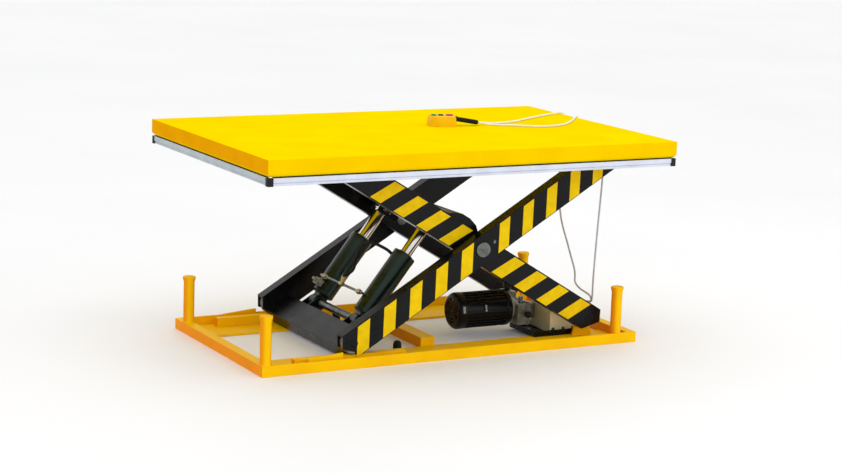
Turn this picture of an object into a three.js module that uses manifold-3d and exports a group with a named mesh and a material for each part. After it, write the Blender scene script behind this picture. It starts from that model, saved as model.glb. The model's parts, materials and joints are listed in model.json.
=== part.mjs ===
// Single-scissor hydraulic lift table, raised. Millimetres, +Z up.
// Origin: middle of the base, on the floor. +X runs along the table towards the fixed pivots,
// +Y runs across it. "near" pieces are on the -Y side, "far" pieces on the +Y side.

import * as THREE from 'three';
import { mergeVertices } from 'three/addons/utils/BufferGeometryUtils.js';
import Module from 'manifold-3d';

const wasm = await Module();
wasm.setup();

// ---------------------------------------------------------------- driving dimensions

const GAP = 0.3;
const SEAM = 0.2;
const ROUND = 16;
const ARC_STEPS = 4;

const PLATFORM_LENGTH = 1700;
const PLATFORM_WIDTH = 1100;
const PLATFORM_TOP = 806;
const DECK_PLATE = 6;
const SKIRT_HEIGHT = 61;
const SKIRT_WALL = 5;
const SKIRT_BEVEL = 9;

const BASE_LENGTH = 1594;
const BASE_WIDTH = 832;
const BASE_HEIGHT = 40;
const BASE_PLATE_WIDTH = 200;
const BASE_PLATE = 8;
const CROSS_X = [-50, 10];
const TRAY_BAR_X = [545, 595];

const HALF_ARM = 615;
const LIFT_ANGLE = THREE.MathUtils.degToRad(31);
const PIVOT_X = 640;
const LOWER_PIVOT_Z = 86;
const ARM_DEPTH = 104;
const ARM_WALL = 6;
const OUTER_ARM_Y = [333, 383];
const INNER_ARM_Y = [272, 322];
const FORK_END = 420;

const ROLLER_R = 44;
const ROLLER_WIDTH = 34;
const AXLE_R = 14;
const PIVOT_PIN_R = 17;
const CENTRE_PIN_R = 20;
const LUG = 8;
const LUG_R = 25.5;
const TRACK_WIDTH = 30;
const TRACK_X = [-650, -195];

const RAM_Y = 180;
const RAM_FOOT = { along: -500, across: -32 };
const RAM_HEAD = { along: -151, across: 0 };
const RAM_STROKE = 107.2;
const BARREL_R = 45;
const BARREL_BORE_R = 38;
const BARREL_START = 34;
const BARREL_END = 308;
const ROD_R = 22.5;
const RAM_PIN_R = 15;
const EYE_R = 34;
const EYE_WIDTH = 40;
const EYE_CLEAR = 4;
const HEAD_SLOT = { travel: 25, drop: 1.4, clear: 5.5 };

const POST_R = 21;
const POST_TOP = 222;
const POSTS = [
  { name: 'corner_post_left_near', x: -776, y: -395, foot: BASE_HEIGHT },
  { name: 'corner_post_left_far', x: -776, y: 330, foot: BASE_HEIGHT },
  { name: 'corner_post_right_near', x: 715, y: -393, foot: BASE_PLATE },
  { name: 'corner_post_right_far', x: 722, y: 330, foot: BASE_PLATE },
];

const BAR_HEIGHT = 28;
const BAR_DEPTH = 14;
const BAR_INSET = 2;
const BAR_DROP = 4;
const CORNER_LEG = 20;

const MOTOR_Y = -100;
const MOTOR_Z = 105;
const MOTOR_R = 72;
const MOTOR_X = [146, 385];
const MANIFOLD_END = 470;
const TANK = { x: [525, 645], y: [-216, -66], z: [12, 120] };
const TRAY = { x: [440, 655], y: [-243, -50], z: 8, wall: 3, rim: 22 };

const PENDANT = { x: 176, y: 87, length: 104, width: 76, height: 40, turn: -14.4 };
const CABLE_R = 4;

// ---------------------------------------------------------------- derived places

const RISE = 2 * HALF_ARM * Math.sin(LIFT_ANGLE);
const UPPER_PIVOT_Z = LOWER_PIVOT_Z + RISE;
const CENTRE_X = PIVOT_X - HALF_ARM * Math.cos(LIFT_ANGLE);
const CENTRE_Z = LOWER_PIVOT_Z + RISE / 2;
const DECK_UNDER = PLATFORM_TOP - DECK_PLATE;
const BAR_TOP = PLATFORM_TOP - SKIRT_HEIGHT - BAR_DROP;
const TRACK_TOP = LOWER_PIVOT_Z - ROLLER_R;
const UPPER_TRACK_Z = UPPER_PIVOT_Z + ROLLER_R;

// ---------------------------------------------------------------- materials

const paint = (color, roughness, metalness) => {
  return new THREE.MeshStandardMaterial({ color, roughness, metalness });
};
const yellowPaint = () => paint(0xf8cc08, 0.45, 0.05);
const blackPaint = () => paint(0x16171a, 0.35, 0.1);
const steel = () => paint(0x8f9296, 0.35, 0.9);
const chrome = () => paint(0xd8dadd, 0.12, 1.0);
const aluminium = () => paint(0xb9c4cc, 0.4, 0.8);
const rubber = () => paint(0x151515, 0.8, 0);
const blackPlastic = () => paint(0x1b1b1c, 0.6, 0);
const creamPaint = () => paint(0xcfc9a4, 0.5, 0.05);
const cableGrey = () => paint(0xd9d9d6, 0.6, 0);

// ---------------------------------------------------------------- geometry helpers

function signedVolume(positions, index) {
  const corner = (i) => new THREE.Vector3().fromArray(positions, 3 * index[i]);
  let total = 0;
  for (let i = 0; i < index.length; i += 3) {
    total += corner(i).dot(corner(i + 1).cross(corner(i + 2)));
  }
  return total / 6;
}

// A manifold solid from a closed three.js geometry, with its faces turned outwards.
function solid(geometry) {
  const bare = geometry.clone();
  bare.deleteAttribute('normal');
  bare.deleteAttribute('uv');
  const merged = mergeVertices(bare, 1e-3);
  const positions = merged.attributes.position.array;
  const index = Array.from(merged.index.array);
  const whole = [];
  for (let i = 0; i < index.length; i += 3) {
    const [a, b, c] = index.slice(i, i + 3);
    if (a !== b && b !== c && a !== c) whole.push(a, b, c);
  }
  const faces = signedVolume(positions, whole) < 0 ? whole.reverse() : whole;
  const mesh = new wasm.Mesh({
    numProp: 3,
    vertProperties: new Float32Array(positions),
    triVerts: new Uint32Array(faces),
  });
  return new wasm.Manifold(mesh);
}

function geometryOf(body) {
  const mesh = body.getMesh();
  const geometry = new THREE.BufferGeometry();
  geometry.setAttribute('position', new THREE.BufferAttribute(mesh.vertProperties, 3));
  geometry.setIndex(new THREE.BufferAttribute(mesh.triVerts, 1));
  geometry.computeVertexNormals();
  return geometry;
}

const join = (...bodies) => bodies.reduce((sum, body) => sum.add(body));
const cut = (body, ...tools) => tools.reduce((rest, tool) => rest.subtract(tool), body);

function box(x, y, z) {
  const geometry = new THREE.BoxGeometry(x[1] - x[0], y[1] - y[0], z[1] - z[0]);
  geometry.translate((x[0] + x[1]) / 2, (y[0] + y[1]) / 2, (z[0] + z[1]) / 2);
  return solid(geometry);
}

// A range across the table, mirrored to the near side when side is -1.
const across = (side, range) => (side > 0 ? range : [-range[1], -range[0]]);

function shapeOf(points) {
  return new THREE.Shape(points.map(([a, b]) => new THREE.Vector2(a, b)));
}

// An outline in the XZ plane, given as a shape, made solid between two Y values.
function slab(shape, y) {
  const geometry = new THREE.ExtrudeGeometry(shape, {
    depth: y[1] - y[0],
    bevelEnabled: false,
    curveSegments: ARC_STEPS,
  });
  geometry.rotateX(Math.PI / 2);
  geometry.translate(0, y[1], 0);
  return solid(geometry);
}

// An outline in the XY plane made solid between two Z values.
function block(shape, z) {
  const geometry = new THREE.ExtrudeGeometry(shape, {
    depth: z[1] - z[0],
    bevelEnabled: false,
    curveSegments: ARC_STEPS,
  });
  geometry.translate(0, 0, z[0]);
  return solid(geometry);
}

function rodY(radius, x, z, y, segments = ROUND) {
  const geometry = new THREE.CylinderGeometry(radius, radius, y[1] - y[0], segments);
  geometry.translate(x, (y[0] + y[1]) / 2, z);
  return solid(geometry);
}

// A turned piece: profile points are [radius, place along the axis].
function turned(profile, axis, segments = ROUND) {
  const points = profile.map(([r, a]) => new THREE.Vector2(r, a));
  const geometry = new THREE.LatheGeometry(points, segments);
  if (axis === 'z') geometry.rotateX(Math.PI / 2);
  if (axis === 'x') geometry.rotateZ(-Math.PI / 2);
  return solid(geometry);
}

// A thin cable or pipe along a smooth curve through the given points.
function cable(points, radius, steps) {
  const curve = new THREE.CatmullRomCurve3(points.map((p) => new THREE.Vector3(...p)));
  const section = new THREE.Shape();
  section.absarc(0, 0, radius, 0, 2 * Math.PI);
  const geometry = new THREE.ExtrudeGeometry(section, {
    steps,
    curveSegments: 3,
    extrudePath: curve,
  });
  return solid(geometry);
}

const table = new THREE.Group();

function piece(parent, name, body, material) {
  const mesh = new THREE.Mesh(geometryOf(body), material);
  mesh.name = name;
  parent.add(mesh);
}

const SIDES = [
  { side: -1, word: 'near' },
  { side: 1, word: 'far' },
];

// ---------------------------------------------------------------- base

// A lug plate with a round eye at (x, z) and a wide straight foot at footZ.
function lugShape(x, z, footZ, footHalf) {
  const up = z > footZ ? 1 : -1;
  const shape = new THREE.Shape();
  shape.moveTo(x - footHalf, footZ);
  shape.lineTo(x + footHalf, footZ);
  shape.lineTo(x + LUG_R, z);
  shape.absarc(x, z, LUG_R, 0, up * Math.PI, up < 0);
  shape.closePath();
  return shape;
}

// The flat bottom layer: two wide side plates, the ends, the cross member and the tray bar.
function floorLayer() {
  const length = BASE_LENGTH / 2;
  const width = BASE_WIDTH / 2;
  const inside = width - BASE_PLATE_WIDTH;
  const end = length - BASE_HEIGHT;
  const plate = box([-length, length], [-width, width], [0, BASE_PLATE]);
  const gaps = [[-end, CROSS_X[0]], [CROSS_X[1], TRAY_BAR_X[0]], [TRAY_BAR_X[1], end]];
  return cut(plate, ...gaps.map((x) => box(x, [-inside, inside], [-1, BASE_PLATE + 1])));
}

// The end rails and the upright outer edges of the side members, as one ring.
function upperRing() {
  const length = BASE_LENGTH / 2 - SEAM;
  const width = BASE_WIDTH / 2 - SEAM;
  const outside = box([-length, length], [-width, width], [BASE_PLATE - 1, BASE_HEIGHT]);
  const clearX = length - BASE_HEIGHT;
  const clearY = width - BASE_PLATE;
  return cut(outside, box([-clearX, clearX], [-clearY, clearY], [0, BASE_HEIGHT + 1]));
}

// The end rails are folded channels, open underneath.
function railHollow(end) {
  const outside = BASE_LENGTH / 2 - 3;
  const half = BASE_WIDTH / 2 - 20;
  return box(across(end, [outside - BASE_HEIGHT + 6, outside]), [-half, half], [-1, BASE_HEIGHT - 3]);
}

// The cross member is a box tube, closed at its near end and open at its far end.
function crossMember() {
  const reach = BASE_WIDTH / 2 - BASE_PLATE_WIDTH + SEAM;
  const x = [CROSS_X[0] + SEAM, CROSS_X[1] - SEAM];
  const tube = box(x, [-reach, reach], [BASE_PLATE - 1, BASE_HEIGHT]);
  const hollow = box([x[0] + 6, x[1] - 6], [6 - reach, reach + 1], [BASE_PLATE + 1, BASE_HEIGHT - 5]);
  return cut(tube, hollow);
}

function sideFittings(side) {
  const middle = (OUTER_ARM_Y[0] + OUTER_ARM_Y[1]) / 2;
  const trackY = across(side, [middle - TRACK_WIDTH / 2, middle + TRACK_WIDTH / 2]);
  const track = box(TRACK_X, trackY, [BASE_PLATE - 1, TRACK_TOP]);
  const guide = slab(
    shapeOf([[-606, 4], [-467, 4], [-467, 59], [-606, 47]]),
    across(side, [388, 388 + LUG]),
  );
  const lug = lugShape(PIVOT_X, LOWER_PIVOT_Z, 4, 46);
  return join(track, guide, slab(lug, across(side, [INNER_ARM_Y[0] - 2 - LUG, INNER_ARM_Y[0] - 2])));
}

function baseFrame() {
  let frame = join(floorLayer(), upperRing(), crossMember(), sideFittings(-1), sideFittings(1));
  frame = cut(frame, railHollow(-1), railHollow(1));
  for (const { side } of SIDES) {
    const pinY = across(side, [INNER_ARM_Y[0] - 20, INNER_ARM_Y[1] + 20]);
    frame = cut(frame, rodY(PIVOT_PIN_R + GAP, PIVOT_X, LOWER_PIVOT_Z, pinY));
  }
  for (const { x, y, foot } of POSTS.filter((corner) => corner.foot === BASE_PLATE)) {
    const socket = new THREE.CylinderGeometry(POST_R + GAP, POST_R + GAP, 60, ROUND);
    socket.rotateX(Math.PI / 2);
    socket.translate(x, y, foot + 30);
    frame = cut(frame, solid(socket));
  }
  return frame;
}

function post({ x, y, foot }) {
  const bore = POST_R - 4;
  const body = turned([
    [0, POST_TOP - 6],
    [bore, POST_TOP - 6],
    [bore, foot],
    [POST_R, foot],
    [POST_R, POST_TOP - 22],
    [POST_R + 3.5, POST_TOP - 12],
    [POST_R + 4, POST_TOP - 4],
    [POST_R, POST_TOP],
    [0, POST_TOP],
  ], 'z');
  return body.translate([x, y, 0]);
}

function buffer(side) {
  const body = turned([[0, 8], [17, 8], [17, 38], [14, 46], [7, 50], [0, 51]], 'z', 20);
  return body.translate([-175, side * 262, 0]);
}

function lowerPivotPin(side) {
  const profile = [[0, 256], [22, 256], [22, 261.5], [PIVOT_PIN_R, 261.5], [PIVOT_PIN_R, 323.4], [0, 323.4]];
  const turnedPin = turned(profile.map(([r, y]) => [r, side * y]), 'y');
  return turnedPin.translate([PIVOT_X, 0, LOWER_PIVOT_Z]);
}

function pumpTray() {
  const { x, y, z, wall, rim } = TRAY;
  const shell = box(x, y, [z, z + rim]);
  const inside = box([x[0] + wall, x[1] - wall], [y[0] + wall, y[1] - wall], [z + wall, z + rim + 1]);
  return cut(shell, inside);
}

function motorHousing() {
  const [start, end] = MOTOR_X;
  const mouth = start + 37;
  const body = turned([
    [12, end - 12],
    [12, end],
    [MOTOR_R - 8, end],
    [MOTOR_R, end - 8],
    [MOTOR_R, mouth],
    [MOTOR_R - 7, mouth],
    [MOTOR_R - 7, end - 12],
    [12, end - 12],
  ], 'x', 24);
  return body.translate([0, MOTOR_Y, MOTOR_Z]);
}

function motorFanCover() {
  const start = MOTOR_X[0];
  const mouth = start + 37 - GAP;
  const body = turned([
    [18, start],
    [MOTOR_R - 12, start],
    [MOTOR_R, start + 14],
    [MOTOR_R, mouth],
    [MOTOR_R - 3, mouth],
    [MOTOR_R - 3, start + 16],
    [MOTOR_R - 13, start + 4],
    [18, start + 4],
    [18, start],
  ], 'x', 24);
  return body.translate([0, MOTOR_Y, MOTOR_Z]);
}

function motorRotor() {
  const [start, end] = MOTOR_X;
  const body = turned([
    [0, start + 8],
    [52, start + 8],
    [52, start + 26],
    [10, start + 26],
    [10, start + 70],
    [52, start + 70],
    [52, end - 60],
    [10, end - 60],
    [10, end + 12],
    [0, end + 12],
  ], 'x', 24);
  return body.translate([0, MOTOR_Y, MOTOR_Z]);
}

function terminalBox() {
  const y = MOTOR_Y + MOTOR_R;
  return box([225, 315], [y + GAP, y + 34], [MOTOR_Z - 36, MOTOR_Z + 36]);
}

function pumpManifold() {
  const x = [MOTOR_X[1], MANIFOLD_END];
  const outline = shapeOf([
    [x[0], 60], [x[0] + 26, 34], [x[1], 34], [x[1], 128], [x[0] + 52, 128], [x[0] + 40, 168], [x[0], 168],
  ]);
  const neck = box([x[1] - 1, TANK.x[0] - 1], [MOTOR_Y + 2, MOTOR_Y + 38], [50, 110]);
  const body = join(slab(outline, [MOTOR_Y - 58, MOTOR_Y + 58]), neck);
  const recess = turned([[0, x[0] - 1], [13, x[0] - 1], [13, x[0] + 16], [0, x[0] + 16]], 'x', 20);
  return cut(body, recess.translate([0, MOTOR_Y, MOTOR_Z]));
}

function solenoidValve() {
  const body = turned([[0, 0], [12, 0], [12, 8], [17, 8], [17, 36], [8, 36], [8, 42], [0, 42]], 'z', 20);
  return body.translate([405, MOTOR_Y + 20, 168 + GAP]);
}

function loweringKnob() {
  const y = MOTOR_Y - 58 - GAP;
  const body = turned([[0, y], [5, y], [5, y - 10], [13, y - 12], [13, y - 26], [0, y - 28]], 'y', 16);
  return body.translate([447, 0, 84]);
}

function oilTank() {
  const { x, y, z } = TANK;
  const wall = 3;
  const shell = box(x, y, [z[0], z[1]]);
  const inside = box([x[0] + wall, x[1] - wall], [y[0] + wall, y[1] - wall], [z[0] + wall, z[1] - wall]);
  const neck = turned([[0, z[1] - 10], [12, z[1] - 10], [12, z[1] + 5], [0, z[1] + 5]], 'z', 20);
  return cut(shell, inside, neck.translate([612, -178, 0]));
}

function fillerCap() {
  const z = TANK.z[1];
  const body = turned([
    [0, z - 8],
    [11, z - 8],
    [11, z + GAP],
    [19, z + GAP],
    [19, z + 12],
    [15, z + 16],
    [0, z + 16],
  ], 'z', 20);
  return body.translate([612, -178, 0]);
}

function hangingCables() {
  const end = [668, -196, 128];
  const straight = cable([
    [702, -272, DECK_UNDER - 2],
    [702, -270, 620],
    [700, -256, 420],
    [700, -243, 230],
    [696, -232, 158],
    end,
  ], CABLE_R, 16);
  const slack = cable([
    [700, 60, DECK_UNDER - 2],
    [700, 42, 620],
    [700, 20, 440],
    [700, -47, 323],
    [700, -104, 232],
    [700, -104, 190],
    [700, -150, 155],
    [696, -190, 138],
    end,
  ], CABLE_R, 26);
  return join(straight, slack);
}

function buildBase() {
  const base = new THREE.Group();
  piece(base, 'base_frame', baseFrame(), yellowPaint());
  for (const corner of POSTS) {
    piece(base, corner.name, post(corner), yellowPaint());
  }
  for (const { side, word } of SIDES) {
    piece(base, `buffer_${word}`, buffer(side), rubber());
    piece(base, `lower_pivot_pin_${word}`, lowerPivotPin(side), blackPaint());
  }
  piece(base, 'pump_tray', pumpTray(), blackPaint());
  piece(base, 'motor_housing', motorHousing(), blackPaint());
  piece(base, 'motor_fan_cover', motorFanCover(), blackPaint());
  piece(base, 'motor_rotor', motorRotor(), steel());
  piece(base, 'terminal_box', terminalBox(), blackPaint());
  piece(base, 'pump_manifold', pumpManifold(), aluminium());
  piece(base, 'solenoid_valve', solenoidValve(), blackPlastic());
  piece(base, 'lowering_knob', loweringKnob(), blackPlastic());
  piece(base, 'oil_tank', oilTank(), creamPaint());
  piece(base, 'filler_cap', fillerCap(), blackPlastic());
  piece(base, 'hanging_cables', hangingCables(), cableGrey());
  return base;
}

// ---------------------------------------------------------------- scissor arms

// Both arms share this outline, in the arm's own axes: along, across. The rail side of the
// roller end is up on the inner arm (rail = 1) and down on the outer arm (rail = -1).
function armOutline(rail) {
  const half = ARM_DEPTH / 2;
  return shapeOf([
    [-606, rail * half], [-665, rail * -9], [-641, rail * -half],
    [606, rail * -half], [665, rail * 9], [641, rail * half],
  ]);
}

function arm(side, range, rail) {
  const half = ARM_DEPTH / 2;
  const y = across(side, range);
  const hollowY = [y[0] + ARM_WALL, y[1] - ARM_WALL];
  const inside = half - ARM_WALL;
  const open = [inside - 1, half + 10].map((v) => rail * v);
  const beam = slab(armOutline(rail), y);
  const hollow = box([-700, HALF_ARM - 30], hollowY, [-inside, inside]);
  const mouth = box([-700, -FORK_END], hollowY, [Math.min(...open), Math.max(...open)]);
  const boss = rodY(32, 0, 0, y);
  const wide = [y[0] - 1, y[1] + 1];
  const bores = join(
    rodY(CENTRE_PIN_R + 2 * GAP, 0, 0, wide),
    rodY(PIVOT_PIN_R + 2 * GAP, HALF_ARM, 0, wide),
    rodY(AXLE_R + GAP, -HALF_ARM, 0, wide),
  );
  return cut(join(cut(beam, hollow, mouth), boss), bores);
}

function roller(side, range) {
  const middle = (range[0] + range[1]) / 2;
  const y = across(side, [middle - ROLLER_WIDTH / 2, middle + ROLLER_WIDTH / 2]);
  const bore = AXLE_R + 2 * GAP;
  const body = turned([
    [bore, y[0]], [24, y[0]], [ROLLER_R - 3, y[0] + 1], [ROLLER_R, y[0] + 4],
    [ROLLER_R, y[1] - 4], [ROLLER_R - 3, y[1] - 1], [24, y[1]], [bore, y[1]], [bore, y[0]],
  ], 'y', 24);
  return body.translate([-HALF_ARM, 0, 0]);
}

function rollerAxle(side, range) {
  return rodY(AXLE_R, -HALF_ARM, 0, across(side, [range[0] + 0.5, range[1] - 0.5]));
}

function centrePin(side) {
  const r = CENTRE_PIN_R;
  const profile = [
    [0, 271], [r, 271], [r, 322.5], [30, 322.5], [30, 332.5], [r, 332.5], [r, 383 + GAP],
    [25, 383 + GAP], [25, 389], [22, 391], [0, 391],
  ];
  return turned(profile.map(([radius, y]) => [radius, side * y]), 'y');
}

// ---------------------------------------------------------------- outer frame

function ramLug(foot, y) {
  const shape = new THREE.Shape();
  shape.moveTo(-556, foot.across - 26);
  shape.lineTo(foot.along, foot.across - 26);
  shape.absarc(foot.along, foot.across, 26, -Math.PI / 2, Math.PI / 2, false);
  shape.lineTo(-556, foot.across + 26);
  shape.closePath();
  return slab(shape, y);
}

function torsionBeam() {
  const inside = OUTER_ARM_Y[0] - GAP;
  const skin = box([-655, -545], [-inside, inside], [-62, -6]);
  const hollow = box([-649, -551], [-inside - 1, inside + 1], [-56, -12]);
  let beam = cut(skin, hollow);
  for (const { side } of SIDES) {
    for (const edge of [-1, 1]) {
      const middle = side * RAM_Y + edge * (EYE_WIDTH / 2 + EYE_CLEAR + LUG / 2);
      beam = join(beam, ramLug(RAM_FOOT, [middle - LUG / 2, middle + LUG / 2]));
    }
  }
  return cut(beam, rodY(RAM_PIN_R + GAP, RAM_FOOT.along, RAM_FOOT.across, [-240, 240]));
}

function ramFootShaft() {
  const reach = RAM_Y + EYE_WIDTH / 2 + EYE_CLEAR + LUG + 2;
  return rodY(RAM_PIN_R, RAM_FOOT.along, RAM_FOOT.across, [-reach, reach]);
}

function buildOuterFrame() {
  const frame = new THREE.Group();
  frame.position.set(CENTRE_X, 0, CENTRE_Z);
  frame.rotation.y = -LIFT_ANGLE;
  for (const { side, word } of SIDES) {
    piece(frame, `outer_arm_${word}`, arm(side, OUTER_ARM_Y, -1), blackPaint());
    piece(frame, `lower_roller_${word}`, roller(side, OUTER_ARM_Y), steel());
    piece(frame, `lower_axle_${word}`, rollerAxle(side, OUTER_ARM_Y), blackPaint());
    piece(frame, `centre_pin_${word}`, centrePin(side), steel());
  }
  piece(frame, 'torsion_beam', torsionBeam(), blackPaint());
  piece(frame, 'ram_foot_shaft', ramFootShaft(), steel());
  return frame;
}

// ---------------------------------------------------------------- inner frame

// The crossbeam that the rams push on: a folded cap over a box, with slotted lugs below.
function cylinderCrossBeam() {
  const between = INNER_ARM_Y[0] - GAP;
  const over = INNER_ARM_Y[1];
  const half = ARM_DEPTH / 2;
  const capShape = shapeOf([
    [-172, half + GAP], [-20, half + GAP], [-42, 70], [-78, 80], [-118, 80], [-152, 68],
  ]);
  const cap = slab(capShape, [-over, over]);
  const skin = box([-150, -50], [-between, between], [12, half + 5]);
  let beam = join(cap, skin);
  for (const { side } of SIDES) {
    for (const edge of [-1, 1]) {
      const middle = side * RAM_Y + edge * (EYE_WIDTH / 2 + EYE_CLEAR + LUG / 2);
      const lug = box([-185, -90], [middle - LUG / 2, middle + LUG / 2], [-32, half + 5]);
      beam = join(beam, lug);
    }
    const pocket = across(side, [RAM_Y - EYE_WIDTH / 2 - EYE_CLEAR, RAM_Y + EYE_WIDTH / 2 + EYE_CLEAR]);
    beam = cut(beam, box([-200, -80], pocket, [-60, EYE_R + 12]));
    beam = cut(beam, headSlot(pocket));
  }
  const hollow = box([-144, -56], [-between - 1, between + 1], [EYE_R + 16, half + 18]);
  return cut(beam, hollow);
}

function headSlot(pocket) {
  const { along } = RAM_HEAD;
  const level = RAM_HEAD.across - HEAD_SLOT.drop;
  const r = RAM_PIN_R + HEAD_SLOT.clear;
  const shape = new THREE.Shape();
  shape.absarc(along, level, r, Math.PI / 2, 1.5 * Math.PI, false);
  shape.absarc(along + HEAD_SLOT.travel, level, r, -Math.PI / 2, Math.PI / 2, false);
  shape.closePath();
  return slab(shape, [pocket[0] - LUG - 4, pocket[1] + LUG + 4]);
}

function buildInnerFrame() {
  const frame = new THREE.Group();
  frame.position.set(CENTRE_X, 0, CENTRE_Z);
  frame.rotation.y = LIFT_ANGLE;
  for (const { side, word } of SIDES) {
    piece(frame, `inner_arm_${word}`, arm(side, INNER_ARM_Y, 1), blackPaint());
    piece(frame, `upper_roller_${word}`, roller(side, INNER_ARM_Y), steel());
    piece(frame, `upper_axle_${word}`, rollerAxle(side, INNER_ARM_Y), steel());
  }
  piece(frame, 'cylinder_cross_beam', cylinderCrossBeam(), blackPaint());
  return frame;
}

// ---------------------------------------------------------------- rams

const onOuter = ({ along, across: up }) => new THREE.Vector3(
  CENTRE_X + along * Math.cos(LIFT_ANGLE) - up * Math.sin(LIFT_ANGLE),
  0,
  CENTRE_Z + along * Math.sin(LIFT_ANGLE) + up * Math.cos(LIFT_ANGLE),
);
const onInner = ({ along, across: up }) => new THREE.Vector3(
  CENTRE_X + along * Math.cos(LIFT_ANGLE) + up * Math.sin(LIFT_ANGLE),
  0,
  CENTRE_Z - along * Math.sin(LIFT_ANGLE) + up * Math.cos(LIFT_ANGLE),
);

const eyeY = [-EYE_WIDTH / 2, EYE_WIDTH / 2];

function barrel() {
  const tube = turned([
    [0, BARREL_START],
    [BARREL_R, BARREL_START],
    [BARREL_R, BARREL_END - 4],
    [BARREL_R - 4, BARREL_END],
    [ROD_R + 2 * GAP, BARREL_END],
    [ROD_R + 2 * GAP, BARREL_END - 20],
    [BARREL_BORE_R, BARREL_END - 20],
    [BARREL_BORE_R, BARREL_START + 12],
    [0, BARREL_START + 12],
  ], 'z', 24);
  const eye = rodY(30, 0, 0, eyeY);
  const neck = box([-24, 24], [-EYE_WIDTH / 2 + 1, EYE_WIDTH / 2 - 1], [0, BARREL_START + 2]);
  return cut(join(tube, eye, neck), rodY(RAM_PIN_R + 2 * GAP, 0, 0, [-30, 30]));
}

function rod(length) {
  const piston = length - RAM_STROKE * 2 - 85;
  const shaft = turned([
    [0, piston],
    [BARREL_BORE_R - 2 * GAP, piston],
    [BARREL_BORE_R - 2 * GAP, piston + 30],
    [ROD_R, piston + 30],
    [ROD_R, length - EYE_R + 8],
    [0, length - EYE_R + 8],
  ], 'z');
  const eye = rodY(EYE_R, 0, length, eyeY);
  return cut(join(shaft, eye), rodY(RAM_PIN_R + GAP, 0, length, [-30, 30]));
}

function ramLinkPipe() {
  const x = -BARREL_R - 7;
  const z = 92;
  const inner = RAM_Y - 26;
  return cable([
    [x + 2, -RAM_Y, z], [x - 4, -inner, z], [x - 4, 0, z], [x - 4, inner, z], [x + 2, RAM_Y, z],
  ], 5, 12);
}

function buildRams() {
  const foot = onOuter(RAM_FOOT);
  const head = onInner(RAM_HEAD);
  const reach = head.clone().sub(foot);
  const rams = new THREE.Group();
  rams.position.copy(foot);
  rams.rotation.y = Math.atan2(reach.x, reach.z);
  const pinReach = EYE_WIDTH / 2 + EYE_CLEAR + LUG + 2;
  for (const { side, word } of SIDES) {
    const at = [0, side * RAM_Y, 0];
    const pin = rodY(RAM_PIN_R, 0, reach.length(), [-pinReach, pinReach]);
    piece(rams, `ram_barrel_${word}`, barrel().translate(at), blackPaint());
    piece(rams, `ram_rod_${word}`, rod(reach.length()).translate(at), chrome());
    piece(rams, `ram_head_pin_${word}`, pin.translate(at), steel());
  }
  piece(rams, 'ram_link_pipe', ramLinkPipe(), steel());
  return rams;
}

// ---------------------------------------------------------------- platform

// A rectangular cap whose lower edge is bevelled inwards all round.
function bevelledBlock(inset, top) {
  const bottom = PLATFORM_TOP - SKIRT_HEIGHT;
  const outline = (length) => shapeOf([
    [-length / 2 + inset, top],
    [length / 2 - inset, top],
    [length / 2 - inset, bottom + SKIRT_BEVEL],
    [length / 2 - inset - SKIRT_BEVEL, bottom - inset / 10],
    [-length / 2 + inset + SKIRT_BEVEL, bottom - inset / 10],
    [-length / 2 + inset, bottom + SKIRT_BEVEL],
  ]);
  const lengthwise = slab(outline(PLATFORM_LENGTH), [-PLATFORM_WIDTH, PLATFORM_WIDTH]);
  const crosswise = slab(outline(PLATFORM_WIDTH), [-PLATFORM_LENGTH, PLATFORM_LENGTH]);
  return lengthwise.intersect(crosswise.rotate([0, 0, 90]));
}

function underframe(side) {
  const middle = (INNER_ARM_Y[0] + INNER_ARM_Y[1]) / 2;
  const railY = across(side, [middle - TRACK_WIDTH / 2, middle + TRACK_WIDTH / 2]);
  const rail = box(TRACK_X, railY, [UPPER_TRACK_Z, DECK_UNDER + 1]);
  const lug = lugShape(PIVOT_X, UPPER_PIVOT_Z, DECK_UNDER + 1, 48);
  const innerLug = slab(lug, across(side, [OUTER_ARM_Y[0] - 2 - LUG, OUTER_ARM_Y[0] - 2]));
  const outerLug = slab(lug, across(side, [OUTER_ARM_Y[1] + 2, OUTER_ARM_Y[1] + 2 + LUG]));
  return join(rail, innerLug, outerLug);
}

// Plates that hang inside the skirt and guide the safety bars.
function barGuides() {
  const z = [BAR_TOP - BAR_HEIGHT, DECK_UNDER + 1];
  const insideY = PLATFORM_WIDTH / 2 - BAR_INSET - BAR_DEPTH - 1;
  const insideX = PLATFORM_LENGTH / 2 - BAR_INSET - BAR_DEPTH - 1;
  const guides = [];
  for (const { side } of SIDES) {
    for (const x of [-560, 0, 560]) {
      guides.push(box([x - 20, x + 20], across(side, [insideY - 5, insideY]), z));
    }
    for (const y of [-300, 300]) {
      guides.push(box(across(side, [insideX - 5, insideX]), [y - 20, y + 20], z));
    }
  }
  return join(...guides);
}

function deck() {
  const shell = cut(bevelledBlock(0, PLATFORM_TOP), bevelledBlock(SKIRT_WALL, DECK_UNDER));
  let body = join(shell, underframe(-1), underframe(1), barGuides());
  for (const { side } of SIDES) {
    const pinY = across(side, [OUTER_ARM_Y[0] - 20, OUTER_ARM_Y[1] + 20]);
    body = cut(body, rodY(PIVOT_PIN_R + GAP, PIVOT_X, UPPER_PIVOT_Z, pinY));
  }
  return body;
}

function upperPivotPin(side) {
  const r = PIVOT_PIN_R;
  const profile = [[0, 322.8], [r, 322.8], [r, 393.5], [22, 393.5], [22, 399], [0, 399]];
  const pin = turned(profile.map(([radius, y]) => [radius, side * y]), 'y');
  return pin.translate([PIVOT_X, 0, UPPER_PIVOT_Z]);
}

function longBar(side) {
  const outside = PLATFORM_WIDTH / 2 - BAR_INSET;
  const reach = PLATFORM_LENGTH / 2 - BAR_INSET - CORNER_LEG;
  const y = across(side, [outside - BAR_DEPTH, outside]);
  return box([-reach, reach], y, [BAR_TOP - BAR_HEIGHT, BAR_TOP]);
}

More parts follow.
